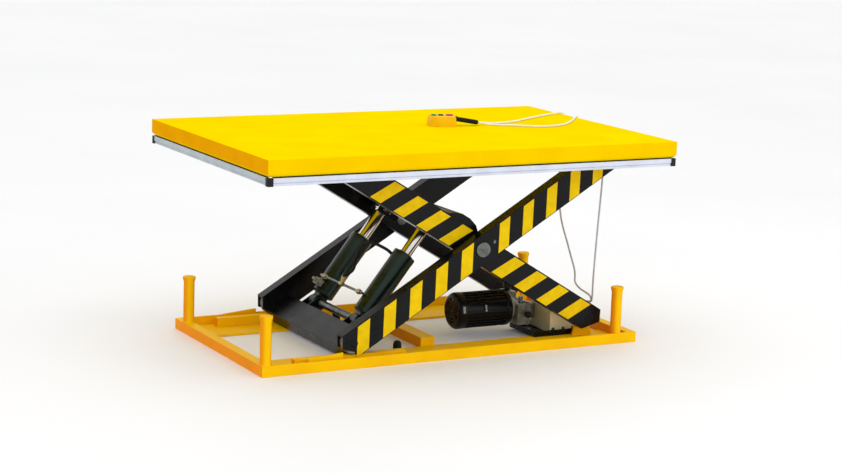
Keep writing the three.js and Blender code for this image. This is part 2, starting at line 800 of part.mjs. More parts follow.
function endBar(end) {
  const outside = PLATFORM_LENGTH / 2 - BAR_INSET;
  const reach = PLATFORM_WIDTH / 2 - BAR_INSET - CORNER_LEG;
  const x = across(end, [outside - BAR_DEPTH, outside]);
  return box(x, [-reach, reach], [BAR_TOP - BAR_HEIGHT, BAR_TOP]);
}

function barCorner(end, side) {
  const proud = 2;
  const x = PLATFORM_LENGTH / 2 - BAR_INSET + proud;
  const y = PLATFORM_WIDTH / 2 - BAR_INSET + proud;
  const leg = CORNER_LEG + proud - GAP;
  const thick = BAR_DEPTH + proud;
  const outline = shapeOf([
    [x - leg, y], [x - 8, y], [x, y - 8], [x, y - leg],
    [x - thick, y - leg], [x - thick, y - thick], [x - leg, y - thick],
  ].map(([a, b]) => [end * a, side * b]));
  return block(outline, [BAR_TOP - BAR_HEIGHT - 1, BAR_TOP + 1]);
}

const BUTTONS = [
  { name: 'button_up', x: -33, r: 11, color: 0x2a8a3a },
  { name: 'button_down', x: -5, r: 11, color: 0x202020 },
  { name: 'button_stop', x: 30, r: 15, color: 0xc01818 },
];

function pendantCase() {
  const { length, width, height } = PENDANT;
  const rest = PLATFORM_TOP + GAP;
  const outline = shapeOf([
    [-length / 2, rest], [length / 2, rest], [length / 2, rest + height - 8],
    [length / 2 - 8, rest + height], [-length / 2 + 8, rest + height], [-length / 2, rest + height - 8],
  ]);
  let body = slab(outline, [-width / 2, width / 2]);
  for (const { x, r } of BUTTONS) {
    const well = turned([[0, -10], [r + 0.5, -10], [r + 0.5, 5], [0, 5]], 'z', 20);
    body = cut(body, well.translate([x, 0, rest + height]));
  }
  return body;
}

function button(x, r) {
  const top = PLATFORM_TOP + GAP + PENDANT.height;
  const body = turned([[0, -6], [r, -6], [r, 3.5], [r - 2, 5], [0, 5]], 'z', 20);
  return body.translate([x, 0, top]);
}

// Two cables leave one bend-relief boot, cross the deck and drop over the end skirt.
function pendantCables() {
  const turn = THREE.MathUtils.degToRad(PENDANT.turn);
  const bootStart = PENDANT.length / 2 + GAP;
  const boot = turned([
    [0, bootStart], [13, bootStart], [13, bootStart + 14], [9, bootStart + 22],
    [7, bootStart + 95], [0, bootStart + 95],
  ], 'x', 16);
  const placed = boot.rotate([0, 0, PENDANT.turn]).translate([PENDANT.x, PENDANT.y, PLATFORM_TOP + 14]);
  const end = bootStart + 90;
  const mouth = [PENDANT.x + end * Math.cos(turn), PENDANT.y + end * Math.sin(turn), PLATFORM_TOP + 13];
  const z = PLATFORM_TOP + CABLE_R + 2;
  const edge = PLATFORM_LENGTH / 2;
  const low = BAR_TOP - BAR_HEIGHT;
  const overEdge = (y) => [
    [edge - 2, y - 3, z + 3], [edge + 11, y, PLATFORM_TOP - 10], [edge + 10, y + 2, low + 20],
    [edge - 4, y + 4, low - 16], [edge - 38, y + 6, low - 12],
  ];
  const upper = cable([
    mouth, [375, 76, z], [409, 68, z], [503, 91, z], [617, 163, z], [738, 235, z], ...overEdge(284),
  ], CABLE_R, 60);
  const lower = cable([
    mouth, [384, 23, z], [445, -9, z], [510, -52, z], [579, -66, z], [665, -33, z], [759, 59, z],
    ...overEdge(172),
  ], CABLE_R, 60);
  return join(placed, upper, lower);
}

function buildPendant() {
  const pendant = new THREE.Group();
  pendant.position.set(PENDANT.x, PENDANT.y, 0);
  pendant.rotation.z = THREE.MathUtils.degToRad(PENDANT.turn);
  piece(pendant, 'pendant_case', pendantCase(), paint(0xf2a900, 0.5, 0));
  for (const { name, x, r, color } of BUTTONS) {
    piece(pendant, name, button(x, r), paint(color, 0.45, 0));
  }
  return pendant;
}

function buildPlatform() {
  const platform = new THREE.Group();
  piece(platform, 'platform_deck', deck(), yellowPaint());
  for (const { side, word } of SIDES) {
    piece(platform, `upper_pivot_pin_${word}`, upperPivotPin(side), steel());
    piece(platform, `safety_bar_${word}`, longBar(side), aluminium());
    piece(platform, `bar_corner_left_${word}`, barCorner(-1, side), blackPlastic());
    piece(platform, `bar_corner_right_${word}`, barCorner(1, side), blackPlastic());
  }
  piece(platform, 'safety_bar_left', endBar(-1), aluminium());
  piece(platform, 'safety_bar_right', endBar(1), aluminium());
  piece(platform, 'pendant_cables', pendantCables(), cableGrey());
  platform.add(buildPendant());
  return platform;
}

table.add(buildBase(), buildInnerFrame(), buildOuterFrame(), buildRams(), buildPlatform());

export default table;
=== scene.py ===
"""Looks for the scissor lift table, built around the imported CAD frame. Metres, +Z up."""
import json
import math

import bmesh
import bpy
from mathutils import Matrix, Vector


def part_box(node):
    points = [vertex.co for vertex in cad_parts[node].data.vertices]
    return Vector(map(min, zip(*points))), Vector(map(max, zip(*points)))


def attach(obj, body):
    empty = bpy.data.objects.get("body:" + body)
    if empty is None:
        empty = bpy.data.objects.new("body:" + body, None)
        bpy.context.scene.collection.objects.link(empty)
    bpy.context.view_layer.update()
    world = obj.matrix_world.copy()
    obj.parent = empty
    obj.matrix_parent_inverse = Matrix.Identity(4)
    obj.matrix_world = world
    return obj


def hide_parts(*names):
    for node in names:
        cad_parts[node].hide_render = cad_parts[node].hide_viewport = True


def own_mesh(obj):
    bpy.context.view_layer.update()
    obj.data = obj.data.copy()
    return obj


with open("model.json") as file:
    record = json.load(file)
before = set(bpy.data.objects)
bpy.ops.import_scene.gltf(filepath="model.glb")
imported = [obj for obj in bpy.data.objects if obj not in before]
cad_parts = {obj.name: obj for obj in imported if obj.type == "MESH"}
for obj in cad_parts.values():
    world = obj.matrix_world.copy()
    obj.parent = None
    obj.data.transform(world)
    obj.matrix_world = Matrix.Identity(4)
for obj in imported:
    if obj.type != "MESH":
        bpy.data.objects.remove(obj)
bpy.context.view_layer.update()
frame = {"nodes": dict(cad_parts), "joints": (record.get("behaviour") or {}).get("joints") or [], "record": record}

# ---------------------------------------------------------------- places taken from the frame

MM = 0.001
JOINTS = {joint["name"]: joint for joint in frame["joints"]}
LOWER_PIVOT = Vector(JOINTS["lift"]["pos_m"])
CENTRE = Vector(JOINTS["centre_pivot"]["pos_m"])
UPPER_PIVOT = Vector(JOINTS["platform_pivot"]["pos_m"])
RAM_FOOT = Vector(JOINTS["ram_swing"]["pos_m"])
RAM_AXIS = Vector(JOINTS["ram_stroke"]["axis"]).normalized()
MOTOR_AXIS = Vector(JOINTS["motor_spin"]["pos_m"])
ALONG_INNER = (LOWER_PIVOT - CENTRE).normalized()
ALONG_OUTER = (UPPER_PIVOT - CENTRE).normalized()
SIDES = {"near": -1, "far": 1}
X, Y, Z = Vector((1, 0, 0)), Vector((0, 1, 0)), Vector((0, 0, 1))


def upright(along):
    """The direction square to an arm, in the XZ plane, pointing up."""
    return Vector((-along.z, 0, along.x))


def on_arm(along, distance, across, y):
    """A point at a distance along an arm from the centre pin, and across it."""
    point = CENTRE + along * distance + upright(along) * across
    return Vector((point.x, y, point.z))


def middle(node):
    low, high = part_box(node)
    return (low + high) / 2


def size(node):
    low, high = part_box(node)
    return high - low


# ---------------------------------------------------------------- materials

def rgb(red, green, blue):
    """An sRGB colour in 0..255 as linear RGBA."""
    def linear(value):
        value /= 255
        return value / 12.92 if value <= 0.04045 else ((value + 0.055) / 1.055) ** 2.4
    return (linear(red), linear(green), linear(blue), 1)


class Finish:
    """A node material: two tones mixed by noise, uneven roughness and a fine bump."""

    def __init__(self, name, metallic=0.0, roughness=0.4, spread=0.08, gloss=0.3):
        self.material = bpy.data.materials.new(name)
        self.material.use_nodes = True
        self.nodes = self.material.node_tree.nodes
        self.links = self.material.node_tree.links
        self.shader = self.nodes["Principled BSDF"]
        self.shader.inputs["Metallic"].default_value = metallic
        self.shader.inputs["Specular IOR Level"].default_value = gloss
        self.place = self.nodes.new("ShaderNodeTexCoord").outputs["Object"]
        self.vary_roughness(roughness, spread)

    def noise(self, scale, detail=3, stretch=None):
        texture = self.nodes.new("ShaderNodeTexNoise")
        texture.inputs["Scale"].default_value = scale
        texture.inputs["Detail"].default_value = detail
        source = self.place
        if stretch:
            mapping = self.nodes.new("ShaderNodeMapping")
            mapping.inputs["Scale"].default_value = stretch
            self.links.new(source, mapping.inputs["Vector"])
            source = mapping.outputs["Vector"]
        self.links.new(source, texture.inputs["Vector"])
        return texture.outputs["Fac"]

    def ramp(self, value, low, high, start, end):
        node = self.nodes.new("ShaderNodeMapRange")
        node.inputs["From Min"].default_value = low
        node.inputs["From Max"].default_value = high
        node.inputs["To Min"].default_value = start
        node.inputs["To Max"].default_value = end
        self.links.new(value, node.inputs["Value"])
        return node.outputs["Result"]

    def mix(self, factor, first, second):
        node = self.nodes.new("ShaderNodeMix")
        node.data_type = "RGBA"
        self.links.new(factor, node.inputs[0])
        for socket, colour in ((node.inputs[6], first), (node.inputs[7], second)):
            if isinstance(colour, tuple):
                socket.default_value = colour
            else:
                self.links.new(colour, socket)
        return node.outputs[2]

    def vary_roughness(self, roughness, spread):
        patch = self.ramp(self.noise(9, 4), 0.3, 0.7, roughness - spread, roughness + spread)
        self.links.new(patch, self.shader.inputs["Roughness"])

    def colour(self, first, second, scale=14, detail=5):
        fade = self.ramp(self.noise(scale, detail), 0.35, 0.65, 0, 1)
        return self.paint(self.mix(fade, first, second))

    def paint(self, colour):
        self.links.new(colour, self.shader.inputs["Base Color"])
        return colour

    def bump(self, strength, scale, distance=0.0004, stretch=None, detail=2):
        node = self.nodes.new("ShaderNodeBump")
        node.inputs["Strength"].default_value = strength
        node.inputs["Distance"].default_value = distance
        self.links.new(self.noise(scale, detail, stretch), node.inputs["Height"])
        self.links.new(node.outputs["Normal"], self.shader.inputs["Normal"])

    def facing(self, axis):
        """How far the surface faces along an axis, either way, from 0 to 1."""
        normal = self.nodes.new("ShaderNodeTexCoord").outputs["Normal"]
        split = self.nodes.new("ShaderNodeSeparateXYZ")
        self.links.new(normal, split.inputs[0])
        absolute = self.nodes.new("ShaderNodeMath")
        absolute.operation = "ABSOLUTE"
        self.links.new(split.outputs[axis], absolute.inputs[0])
        return absolute.outputs[0]


def yellow_powder_coat():
    """Yellow powder coat with painted light and shade: a lighter lemon where it lies flat, golden on the sides, a
    darker orange on the ends.
    """
    finish = Finish("yellow_powder_coat", roughness=0.55, spread=0.06, gloss=0.0)
    patches = finish.ramp(finish.noise(7, 4), 0.35, 0.65, 0, 1)
    # painted light and shade: one yellow drawn lighter on flat faces and darker, more orange, on the faces turned
    # to the ends
    painted_light_flat = finish.mix(patches, rgb(247, 217, 0), rgb(243, 209, 0))
    side = finish.mix(patches, rgb(249, 205, 0), rgb(245, 198, 0))
    end = finish.mix(patches, rgb(236, 166, 4), rgb(229, 156, 6))
    body = finish.mix(finish.ramp(finish.facing("X"), 0.4, 0.9, 0, 1), side, end)
    finish.paint(finish.mix(finish.ramp(finish.facing("Z"), 0.4, 0.9, 0, 1), body, painted_light_flat))
    finish.bump(0.14, 420, 0.0003)
    return finish.material


def golden_powder_coat():
    """The base's deeper golden yellow, with painted shade: more orange on the faces that turn to the ends."""
    finish = Finish("golden_powder_coat", roughness=0.5, spread=0.06, gloss=0.05)
    patches = finish.ramp(finish.noise(8, 4), 0.35, 0.65, 0, 1)
    side = finish.mix(patches, rgb(255, 202, 2), rgb(250, 192, 4))
    # painted shade: the faces turned to the ends are drawn darker and more orange
    end = finish.mix(patches, rgb(244, 150, 10), rgb(234, 142, 10))
    finish.paint(finish.mix(finish.ramp(finish.facing("X"), 0.4, 0.9, 0, 1), side, end))
    finish.bump(0.16, 380, 0.0004)
    return finish.material


def black_gloss_paint():
    finish = Finish("black_gloss_paint", roughness=0.28, spread=0.07, gloss=0.18)
    finish.colour(rgb(5, 6, 8), rgb(12, 13, 15))
    finish.bump(0.12, 300, 0.0003)
    return finish.material


def ram_enamel():
    """The rams' black enamel, a little green where it catches the light."""
    finish = Finish("ram_enamel", roughness=0.3, spread=0.06, gloss=0.6)
    finish.colour(rgb(7, 12, 10), rgb(13, 19, 16))
    finish.shader.inputs["Specular Tint"].default_value = rgb(190, 225, 205)
    finish.bump(0.1, 300, 0.0003)
    return finish.material


def hazard_tape():
    finish = Finish("hazard_tape", roughness=0.45, spread=0.07, gloss=0.08)
    finish.colour(rgb(244, 206, 2), rgb(232, 192, 4), 30)
    finish.bump(0.1, 500, 0.0002)
    return finish.material


def turned_steel():
    finish = Finish("turned_steel", metallic=0.9, roughness=0.34, spread=0.08)
    finish.colour(rgb(124, 128, 122), rgb(84, 88, 84), 40)
    finish.bump(0.25, 60, 0.0002, stretch=(1, 14, 1))
    return finish.material


def hard_chrome():
    finish = Finish("hard_chrome", metallic=1.0, roughness=0.09, spread=0.03)
    finish.colour(rgb(232, 228, 222), rgb(214, 210, 205), 20)
    finish.bump(0.05, 160, 0.0001)
    return finish.material


def bar_aluminium():
    finish = Finish("bar_aluminium", metallic=0.2, roughness=0.42, spread=0.05)
    patches = finish.ramp(finish.noise(16, 5), 0.35, 0.65, 0, 1)
    side = finish.mix(patches, rgb(222, 226, 240), rgb(210, 215, 230))
    # painted shade: the faces turned to the ends are drawn darker than the sides
    end = finish.mix(patches, rgb(182, 192, 196), rgb(168, 178, 184))
    finish.paint(finish.mix(finish.ramp(finish.facing("X"), 0.4, 0.9, 0, 1), side, end))
    finish.bump(0.2, 40, 0.0002, stretch=(1, 1, 24))
    return finish.material


def cast_aluminium():
    finish = Finish("cast_aluminium", metallic=0.65, roughness=0.5, spread=0.1)
    finish.colour(rgb(150, 152, 142), rgb(118, 120, 112), 26)
    finish.bump(0.5, 240, 0.0007, detail=5)
    return finish.material


def black_rubber():
    finish = Finish("black_rubber", roughness=0.75, spread=0.06)
    finish.colour(rgb(14, 14, 15), rgb(24, 24, 25), 34)
    finish.bump(0.3, 350, 0.0004, detail=4)
    return finish.material


def black_plastic():
    finish = Finish("black_plastic", roughness=0.55, spread=0.05)
    finish.colour(rgb(14, 14, 16), rgb(24, 24, 26), 24)
    finish.bump(0.3, 700, 0.0003, detail=4)
    return finish.material


def cream_enamel():
    finish = Finish("cream_enamel", roughness=0.4, spread=0.06)
    patches = finish.ramp(finish.noise(10, 5), 0.35, 0.65, 0, 1)
    # painted light and shade: the faces turned to the ends are drawn darker, the rest a brighter cream
    front = finish.mix(patches, rgb(255, 248, 214), rgb(252, 242, 202))
    end = finish.mix(patches, rgb(206, 198, 160), rgb(190, 182, 142))
    finish.paint(finish.mix(finish.ramp(finish.facing("X"), 0.4, 0.9, 0, 1), front, end))
    finish.bump(0.15, 260, 0.0003)
    return finish.material


def cable_sheath(name, first, second):
    finish = Finish(name, roughness=0.5, spread=0.06)
    finish.colour(first, second, 50)
    finish.bump(0.15, 400, 0.0002)
    return finish.material


def pendant_plastic():
    finish = Finish("pendant_plastic", roughness=0.45, spread=0.05, gloss=0.08)
    finish.colour(rgb(243, 194, 8), rgb(236, 178, 8), 30)
    finish.bump(0.35, 650, 0.0003, detail=4)
    return finish.material


def coloured_plastic(name, first, second):
    finish = Finish(name, roughness=0.38, spread=0.05)
    finish.colour(first, second, 60)
    finish.bump(0.15, 600, 0.0002)
    return finish.material


def brass():
    finish = Finish("brass", metallic=0.9, roughness=0.32, spread=0.06)
    finish.colour(rgb(190, 168, 112), rgb(160, 138, 88), 60)
    finish.bump(0.2, 200, 0.0002)
    return finish.material


FINISHES = {
    "yellow_paint": yellow_powder_coat(),
    "base_yellow": golden_powder_coat(),
    "black_paint": black_gloss_paint(),
    "ram_enamel": ram_enamel(),
    "hazard_yellow": hazard_tape(),
    "machined_steel": turned_steel(),
    "hard_chrome": hard_chrome(),
    "bar_aluminium": bar_aluminium(),
    "cast_aluminium": cast_aluminium(),
    "black_rubber": black_rubber(),
    "black_plastic": black_plastic(),
    "cream_paint": cream_enamel(),
    "grey_sheath": cable_sheath("grey_sheath", rgb(198, 194, 198), rgb(182, 178, 182)),
    "white_sheath": cable_sheath("white_sheath", rgb(240, 240, 236), rgb(226, 226, 220)),
    "pendant_yellow": pendant_plastic(),
    "button_green": coloured_plastic("green_plastic", rgb(30, 130, 60), rgb(24, 112, 50)),
    "button_black": coloured_plastic("dark_plastic", rgb(30, 30, 32), rgb(40, 40, 42)),
    "signal_red": coloured_plastic("red_plastic", rgb(196, 26, 24), rgb(170, 20, 20)),
    "brass": brass(),
}
NODE_SLOTS = {entry["node"]: entry["material_slot"] for entry in frame["record"]["subparts"]}


# ---------------------------------------------------------------- mesh helpers

def smooth(piece, angle=32):
    mesh = piece.data
    mesh.shade_smooth()
    mesh.set_sharp_from_angle(angle=math.radians(angle))


def soften(piece, width, segments=2, angle=32):
    """Rounds the edges that are sharper than the angle and keeps the large faces flat."""
    bevel = piece.modifiers.new("edges", "BEVEL")
    bevel.width = width
    bevel.segments = segments
    bevel.limit_method = "ANGLE"
    bevel.angle_limit = math.radians(angle)
    bevel.use_clamp_overlap = True
    normals = piece.modifiers.new("normals", "WEIGHTED_NORMAL")
    normals.weight = 100
    normals.keep_sharp = True


def add(name, build, body, slot, edge=0.0, stands_for=()):
    """Makes a piece from a bmesh that build(mesh) fills in, and puts it on its body."""
    mesh = bmesh.new()
    build(mesh)
    bmesh.ops.remove_doubles(mesh, verts=mesh.verts, dist=1e-6)
    bmesh.ops.recalc_face_normals(mesh, faces=mesh.faces)
    data = bpy.data.meshes.new(name)
    mesh.to_mesh(data)
    mesh.free()
    piece = bpy.data.objects.new(name, data)
    bpy.context.scene.collection.objects.link(piece)
    data.materials.append(FINISHES[slot])
    smooth(piece)
    if edge:
        soften(piece, edge)
    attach(piece, body)
    if stands_for:
        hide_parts(*stands_for)
    return piece


def frame_at(origin, axis, side=None):
    """A matrix whose Z axis is the given axis, at an origin."""
    z = Vector(axis).normalized()
    x = Vector(side) if side else (Y if abs(z.y) < 0.9 else X)
    x = (x - z * x.dot(z)).normalized()
    y = z.cross(x)
    turn = Matrix((x, y, z)).transposed().to_4x4()
    return Matrix.Translation(origin) @ turn


def turned(mesh, profile, place, steps=40, scale=MM):
    """Turns a profile of (radius, height) points about the Z axis of a matrix. Ends on the axis close."""
    rings = []
    for radius, height in profile:
        if radius <= 0:
            rings.append([mesh.verts.new(place @ Vector((0, 0, height * scale)))])
            continue
        ring = []
        for step in range(steps):
            turn = 2 * math.pi * step / steps
            spot = Vector((radius * math.cos(turn), radius * math.sin(turn), height)) * scale
            ring.append(mesh.verts.new(place @ spot))
        rings.append(ring)
    for first, second in zip(rings, rings[1:]):
        for step in range(steps):
            other = (step + 1) % steps
            if len(first) == 1 and len(second) == 1:
                break
            if len(first) == 1:
                mesh.faces.new((first[0], second[other], second[step]))
            elif len(second) == 1:
                mesh.faces.new((first[step], first[other], second[0]))
            else:
                mesh.faces.new((first[step], first[other], second[other], second[step]))


def block(mesh, low, high, place=None):
    """A box between two corners, in the axes of a matrix."""
    place = place or Matrix.Identity(4)
    corners = [
        Vector((x, y, z))
        for z in (low[2], high[2]) for y in (low[1], high[1]) for x in (low[0], high[0])
    ]
    verts = [mesh.verts.new(place @ corner) for corner in corners]
    for face in ((0, 2, 3, 1), (4, 5, 7, 6), (0, 1, 5, 4), (2, 6, 7, 3), (0, 4, 6, 2), (1, 3, 7, 5)):
        mesh.faces.new([verts[i] for i in face])


def prism(mesh, outline, depth, place):
    """An outline of (x, y) points made solid from z = 0 to depth, in the axes of a matrix."""
    bottom = [mesh.verts.new(place @ Vector((x, y, 0))) for x, y in outline]
    top = [mesh.verts.new(place @ Vector((x, y, depth))) for x, y in outline]
    mesh.faces.new(list(reversed(bottom)))
    mesh.faces.new(top)
    count = len(outline)
    for i in range(count):
        j = (i + 1) % count
        mesh.faces.new((bottom[i], bottom[j], top[j], top[i]))


def smooth_path(points, steps=10):
    """A centripetal-looking curve through the points, as a list of points."""
    spots = [Vector(p) for p in points]
    padded = [2 * spots[0] - spots[1]] + spots + [2 * spots[-1] - spots[-2]]
    path = []
    for a, b, c, d in zip(padded, padded[1:], padded[2:], padded[3:]):
        for step in range(steps):
            t = step / steps
            path.append(0.5 * (
                2 * b + (c - a) * t + (2 * a - 5 * b + 4 * c - d) * t * t + (3 * b - a - 3 * c + d) * t ** 3
            ))
    path.append(spots[-1])
    return path


def tube(mesh, path, radius, sides=14):
    """A round tube along a path, closed at both ends."""
    side = Y if abs((path[1] - path[0]).normalized().y) < 0.9 else X
    rings = []
    for i, point in enumerate(path):
        ahead = path[min(i + 1, len(path) - 1)] - path[max(i - 1, 0)]
        z = ahead.normalized()
        side = (side - z * side.dot(z)).normalized()
        up = z.cross(side)
        ring = []
        for step in range(sides):
            turn = 2 * math.pi * step / sides
            ring.append(mesh.verts.new(point + (side * math.cos(turn) + up * math.sin(turn)) * radius))
        rings.append(ring)
    for first, second in zip(rings, rings[1:]):
        for step in range(sides):
            other = (step + 1) % sides
            mesh.faces.new((first[step], first[other], second[other], second[step]))
    mesh.faces.new(list(reversed(rings[0])))
    mesh.faces.new(rings[-1])


def hexagon(mesh, place, across=13 * MM, height=8 * MM):
    """A hexagon bolt head with a washer under it."""
    turned(mesh, [(0, 0), (across * 0.75 / MM, 0), (across * 0.75 / MM, 1.6), (0, 1.6)], place, 24)
    radius = across / math.sqrt(3)
    ring = [(radius * math.cos(math.pi * k / 3), radius * math.sin(math.pi * k / 3)) for k in range(6)]
    prism(mesh, ring, height, place @ Matrix.Translation((0, 0, 1.6 * MM)))


def socket_head(mesh, place, radius=5.0, height=6.0):
    """A round cap screw with a hollow in its head."""
    turned(mesh, [
        (0, height - 3), (radius * 0.5, height - 3), (radius * 0.5, height), (radius * 0.85, height),
        (radius, height - 0.8), (radius, 0), (0, 0),
    ], place, 20)


# ---------------------------------------------------------------- CAD nodes that stay

def keep_node(node, edge, finish):
    """A CAD node with rounded edges and its finish."""
    piece = frame["nodes"][node]
    piece.data.materials.clear()
    piece.data.materials.append(FINISHES[finish])
    weld = piece.modifiers.new("weld", "WELD")
    weld.merge_threshold = 2e-5
    soften(piece, edge)
    smooth(piece)


KEPT = {
    "base_frame": 1.6, "platform_deck": 2.4, "pump_tray": 1.0,
    "torsion_beam": 2.5, "cylinder_cross_beam": 2.5,
    "inner_arm_near": 3.0, "inner_arm_far": 3.0, "outer_arm_near": 3.0, "outer_arm_far": 3.0,
}
for node, edge in KEPT.items():
    keep_node(node, edge * MM, "base_yellow" if node == "base_frame" else NODE_SLOTS[node])


# ---------------------------------------------------------------- hazard stripes

STRIPE_LEAN = math.radians(58)
STRIPE_TOP = 47 * MM
STRIPE_BOTTOM = -49 * MM
TAPE = 0.4 * MM
OUTER_RUNS = [
    {"start": -603, "count": 5, "pitch": 124, "width": 57},
    {"start": 78, "count": 5, "pitch": 118, "width": 51},
]
INNER_RUNS = [
    {"start": -466, "count": 4, "pitch": 114, "width": 51},
    {"start": 147, "count": 4, "pitch": 119, "width": 54},
]


def stripes(name, along, runs, y, side, body):
    """Leaning strips of yellow tape on the outer face of one arm."""
    face = Matrix((along, upright(along), side * Y)).transposed().to_4x4()
    place = Matrix.Translation(Vector((CENTRE.x, y, CENTRE.z))) @ face
    lean = 1 / math.tan(STRIPE_LEAN)

    def build(mesh):
        for run in runs:
            for k in range(run["count"]):
                left = (run["start"] + k * run["pitch"]) * MM
                right = left + run["width"] * MM
                prism(mesh, [
                    (left + STRIPE_BOTTOM * lean, STRIPE_BOTTOM),
                    (right + STRIPE_BOTTOM * lean, STRIPE_BOTTOM),
                    (right + STRIPE_TOP * lean, STRIPE_TOP),
                    (left + STRIPE_TOP * lean, STRIPE_TOP),
                ], TAPE, place)

    return add(name, build, body, "hazard_yellow")


for word, side in SIDES.items():
    for frame_name, along, runs in (("outer", ALONG_OUTER, OUTER_RUNS), ("inner", ALONG_INNER, INNER_RUNS)):
        low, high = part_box(f"{frame_name}_arm_{word}")
        outside = high.y if side > 0 else low.y
        stripes(f"{frame_name}_stripes_{word}", along, runs, outside, side, f"{frame_name}_frame")


# ---------------------------------------------------------------- posts, buffers, pins, rollers

def round_piece(name, node, profile, place, body, slot=None, edge=0.0, steps=40):
    """A turned piece that stands for a CAD node."""
    def build(mesh):
        turned(mesh, profile, place, steps)
    return add(name, build, body, slot or NODE_SLOTS[node], edge, (node,))


def corner_post(node):
    low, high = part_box(node)
    centre = (low + high) / 2
    foot, top = low.z / MM, high.z / MM
    profile = [
        (0, foot), (24.5, foot), (24, foot + 2), (21.3, foot + 4.5), (21, foot + 6), (21, top - 24),
        (21.8, top - 18), (24.2, top - 11), (25, top - 6), (24.6, top - 2.5), (23, top - 0.6),
        (21, top), (18.5, top - 0.4), (17.5, top - 1.6), (0, top - 1.6),
    ]
    place = Matrix.Translation((centre.x, centre.y, 0))
    round_piece(node + "_tube", node, profile, place, "base", "base_yellow", steps=48)


def rubber_buffer(node):
    centre = middle(node)
    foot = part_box(node)[0].z / MM
    profile = [
        (0, foot), (17, foot), (17, foot + 3), (15.8, foot + 4), (15.8, foot + 28), (15, foot + 33),
        (12.6, foot + 38), (9, foot + 41.4), (4.5, foot + 42.8), (0, foot + 43),
    ]
    round_piece(node + "_rubber", node, profile, Matrix.Translation((centre.x, centre.y, 0)), "base")


def pin_frame(centre, side):
    return frame_at(Vector((centre.x, 0, centre.z)), side * Y, X)


def greased_pin(name, node, centre, side, profile, body):
    """A turned pin with a chamfered head and a grease nipple."""
    place = pin_frame(centre, side)
    end = max(height for _, height in profile)
    nipple = [
        (3.4, end - 0.5), (3.4, end + 1.5), (2.0, end + 2.2), (1.6, end + 4), (2.2, end + 4.8),
        (0, end + 5.6),
    ]

    def build(mesh):
        turned(mesh, profile, place)
        turned(mesh, nipple, place, 16)

    add(name, build, body, "machined_steel", 0, (node,))


def scissor_pins(word, side):
    greased_pin(f"centre_pin_{word}_cap", f"centre_pin_{word}", CENTRE, side, [
        (0, 271), (20, 271), (20, 322.5), (30, 322.5), (30, 332.5), (20, 332.5), (20, 383.3),
        (29, 383.3), (29, 386.4), (27.6, 388), (16, 388), (15, 387.2), (6, 387.2), (5, 388), (0, 388),
    ], "outer_frame")
    greased_pin(f"upper_pivot_{word}_cap", f"upper_pivot_pin_{word}", UPPER_PIVOT, side, [
        (0, 322.8), (17, 322.8), (17, 393.5), (22, 393.5), (22, 397), (20.5, 398.6), (0, 398.6),
    ], "platform")
    place = pin_frame(LOWER_PIVOT, side)
    round_piece(f"lower_pivot_{word}_steel", f"lower_pivot_pin_{word}", [
        (0, 256), (20.5, 256), (22, 257.5), (22, 261.5), (17, 261.5), (17, 322.4), (15.8, 323.4), (0, 323.4),
    ], place, "base")


def roller(node, body):
    low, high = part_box(node)
    centre = (low + high) / 2
    half = (high.y - low.y) / 2 / MM
    place = frame_at(centre, Y, X)
    profile = [
        (14.6, -half), (23, -half), (24, -half + 1.5), (35, -half + 1.5), (37, -half + 0.4),
        (41, -half + 0.4), (43.7, -half + 3), (43.7, half - 3), (41, half - 0.4),
        (37, half - 0.4), (35, half - 1.5), (24, half - 1.5),
        (23, half), (14.6, half), (14.6, -half),
    ]
    round_piece(node + "_wheel", node, profile, place, body, steps=56)


def roller_axle(node, body, side):
    low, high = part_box(node)
    centre = (low + high) / 2
    inner, outer = sorted((abs(low.y) / MM, abs(high.y) / MM))
    profile = [
        (0, inner), (13, inner), (14, inner + 1), (14, outer), (12.8, outer + 1.2), (0, outer + 1.2),
    ]
    round_piece(node + "_pin", node, profile, pin_frame(centre, side), body)


def arm_bolt(word, side):
    """The small bolt beside the centre pin that locks it."""
    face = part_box(f"outer_arm_{word}")[0 if side < 0 else 1].y

    def build(mesh):
        hexagon(mesh, frame_at(on_arm(ALONG_OUTER, 54 * MM, 0, face), side * Y, ALONG_OUTER), 9 * MM, 3 * MM)

    add(f"centre_pin_lock_{word}", build, "outer_frame", "machined_steel")


for word, side in SIDES.items():
    arm_bolt(word, side)
    corner_post(f"corner_post_left_{word}")
    corner_post(f"corner_post_right_{word}")
    rubber_buffer(f"buffer_{word}")
    scissor_pins(word, side)
    roller(f"lower_roller_{word}", f"lower_wheel_{word}")
    roller(f"upper_roller_{word}", f"upper_wheel_{word}")
    roller_axle(f"lower_axle_{word}", "outer_frame", side)
    roller_axle(f"upper_axle_{word}", "inner_frame", side)


# ---------------------------------------------------------------- rams

RAM_HEAD = middle("ram_head_pin_near")
RAM_LENGTH = (RAM_HEAD - Vector((RAM_FOOT.x, RAM_HEAD.y, RAM_FOOT.z))).length


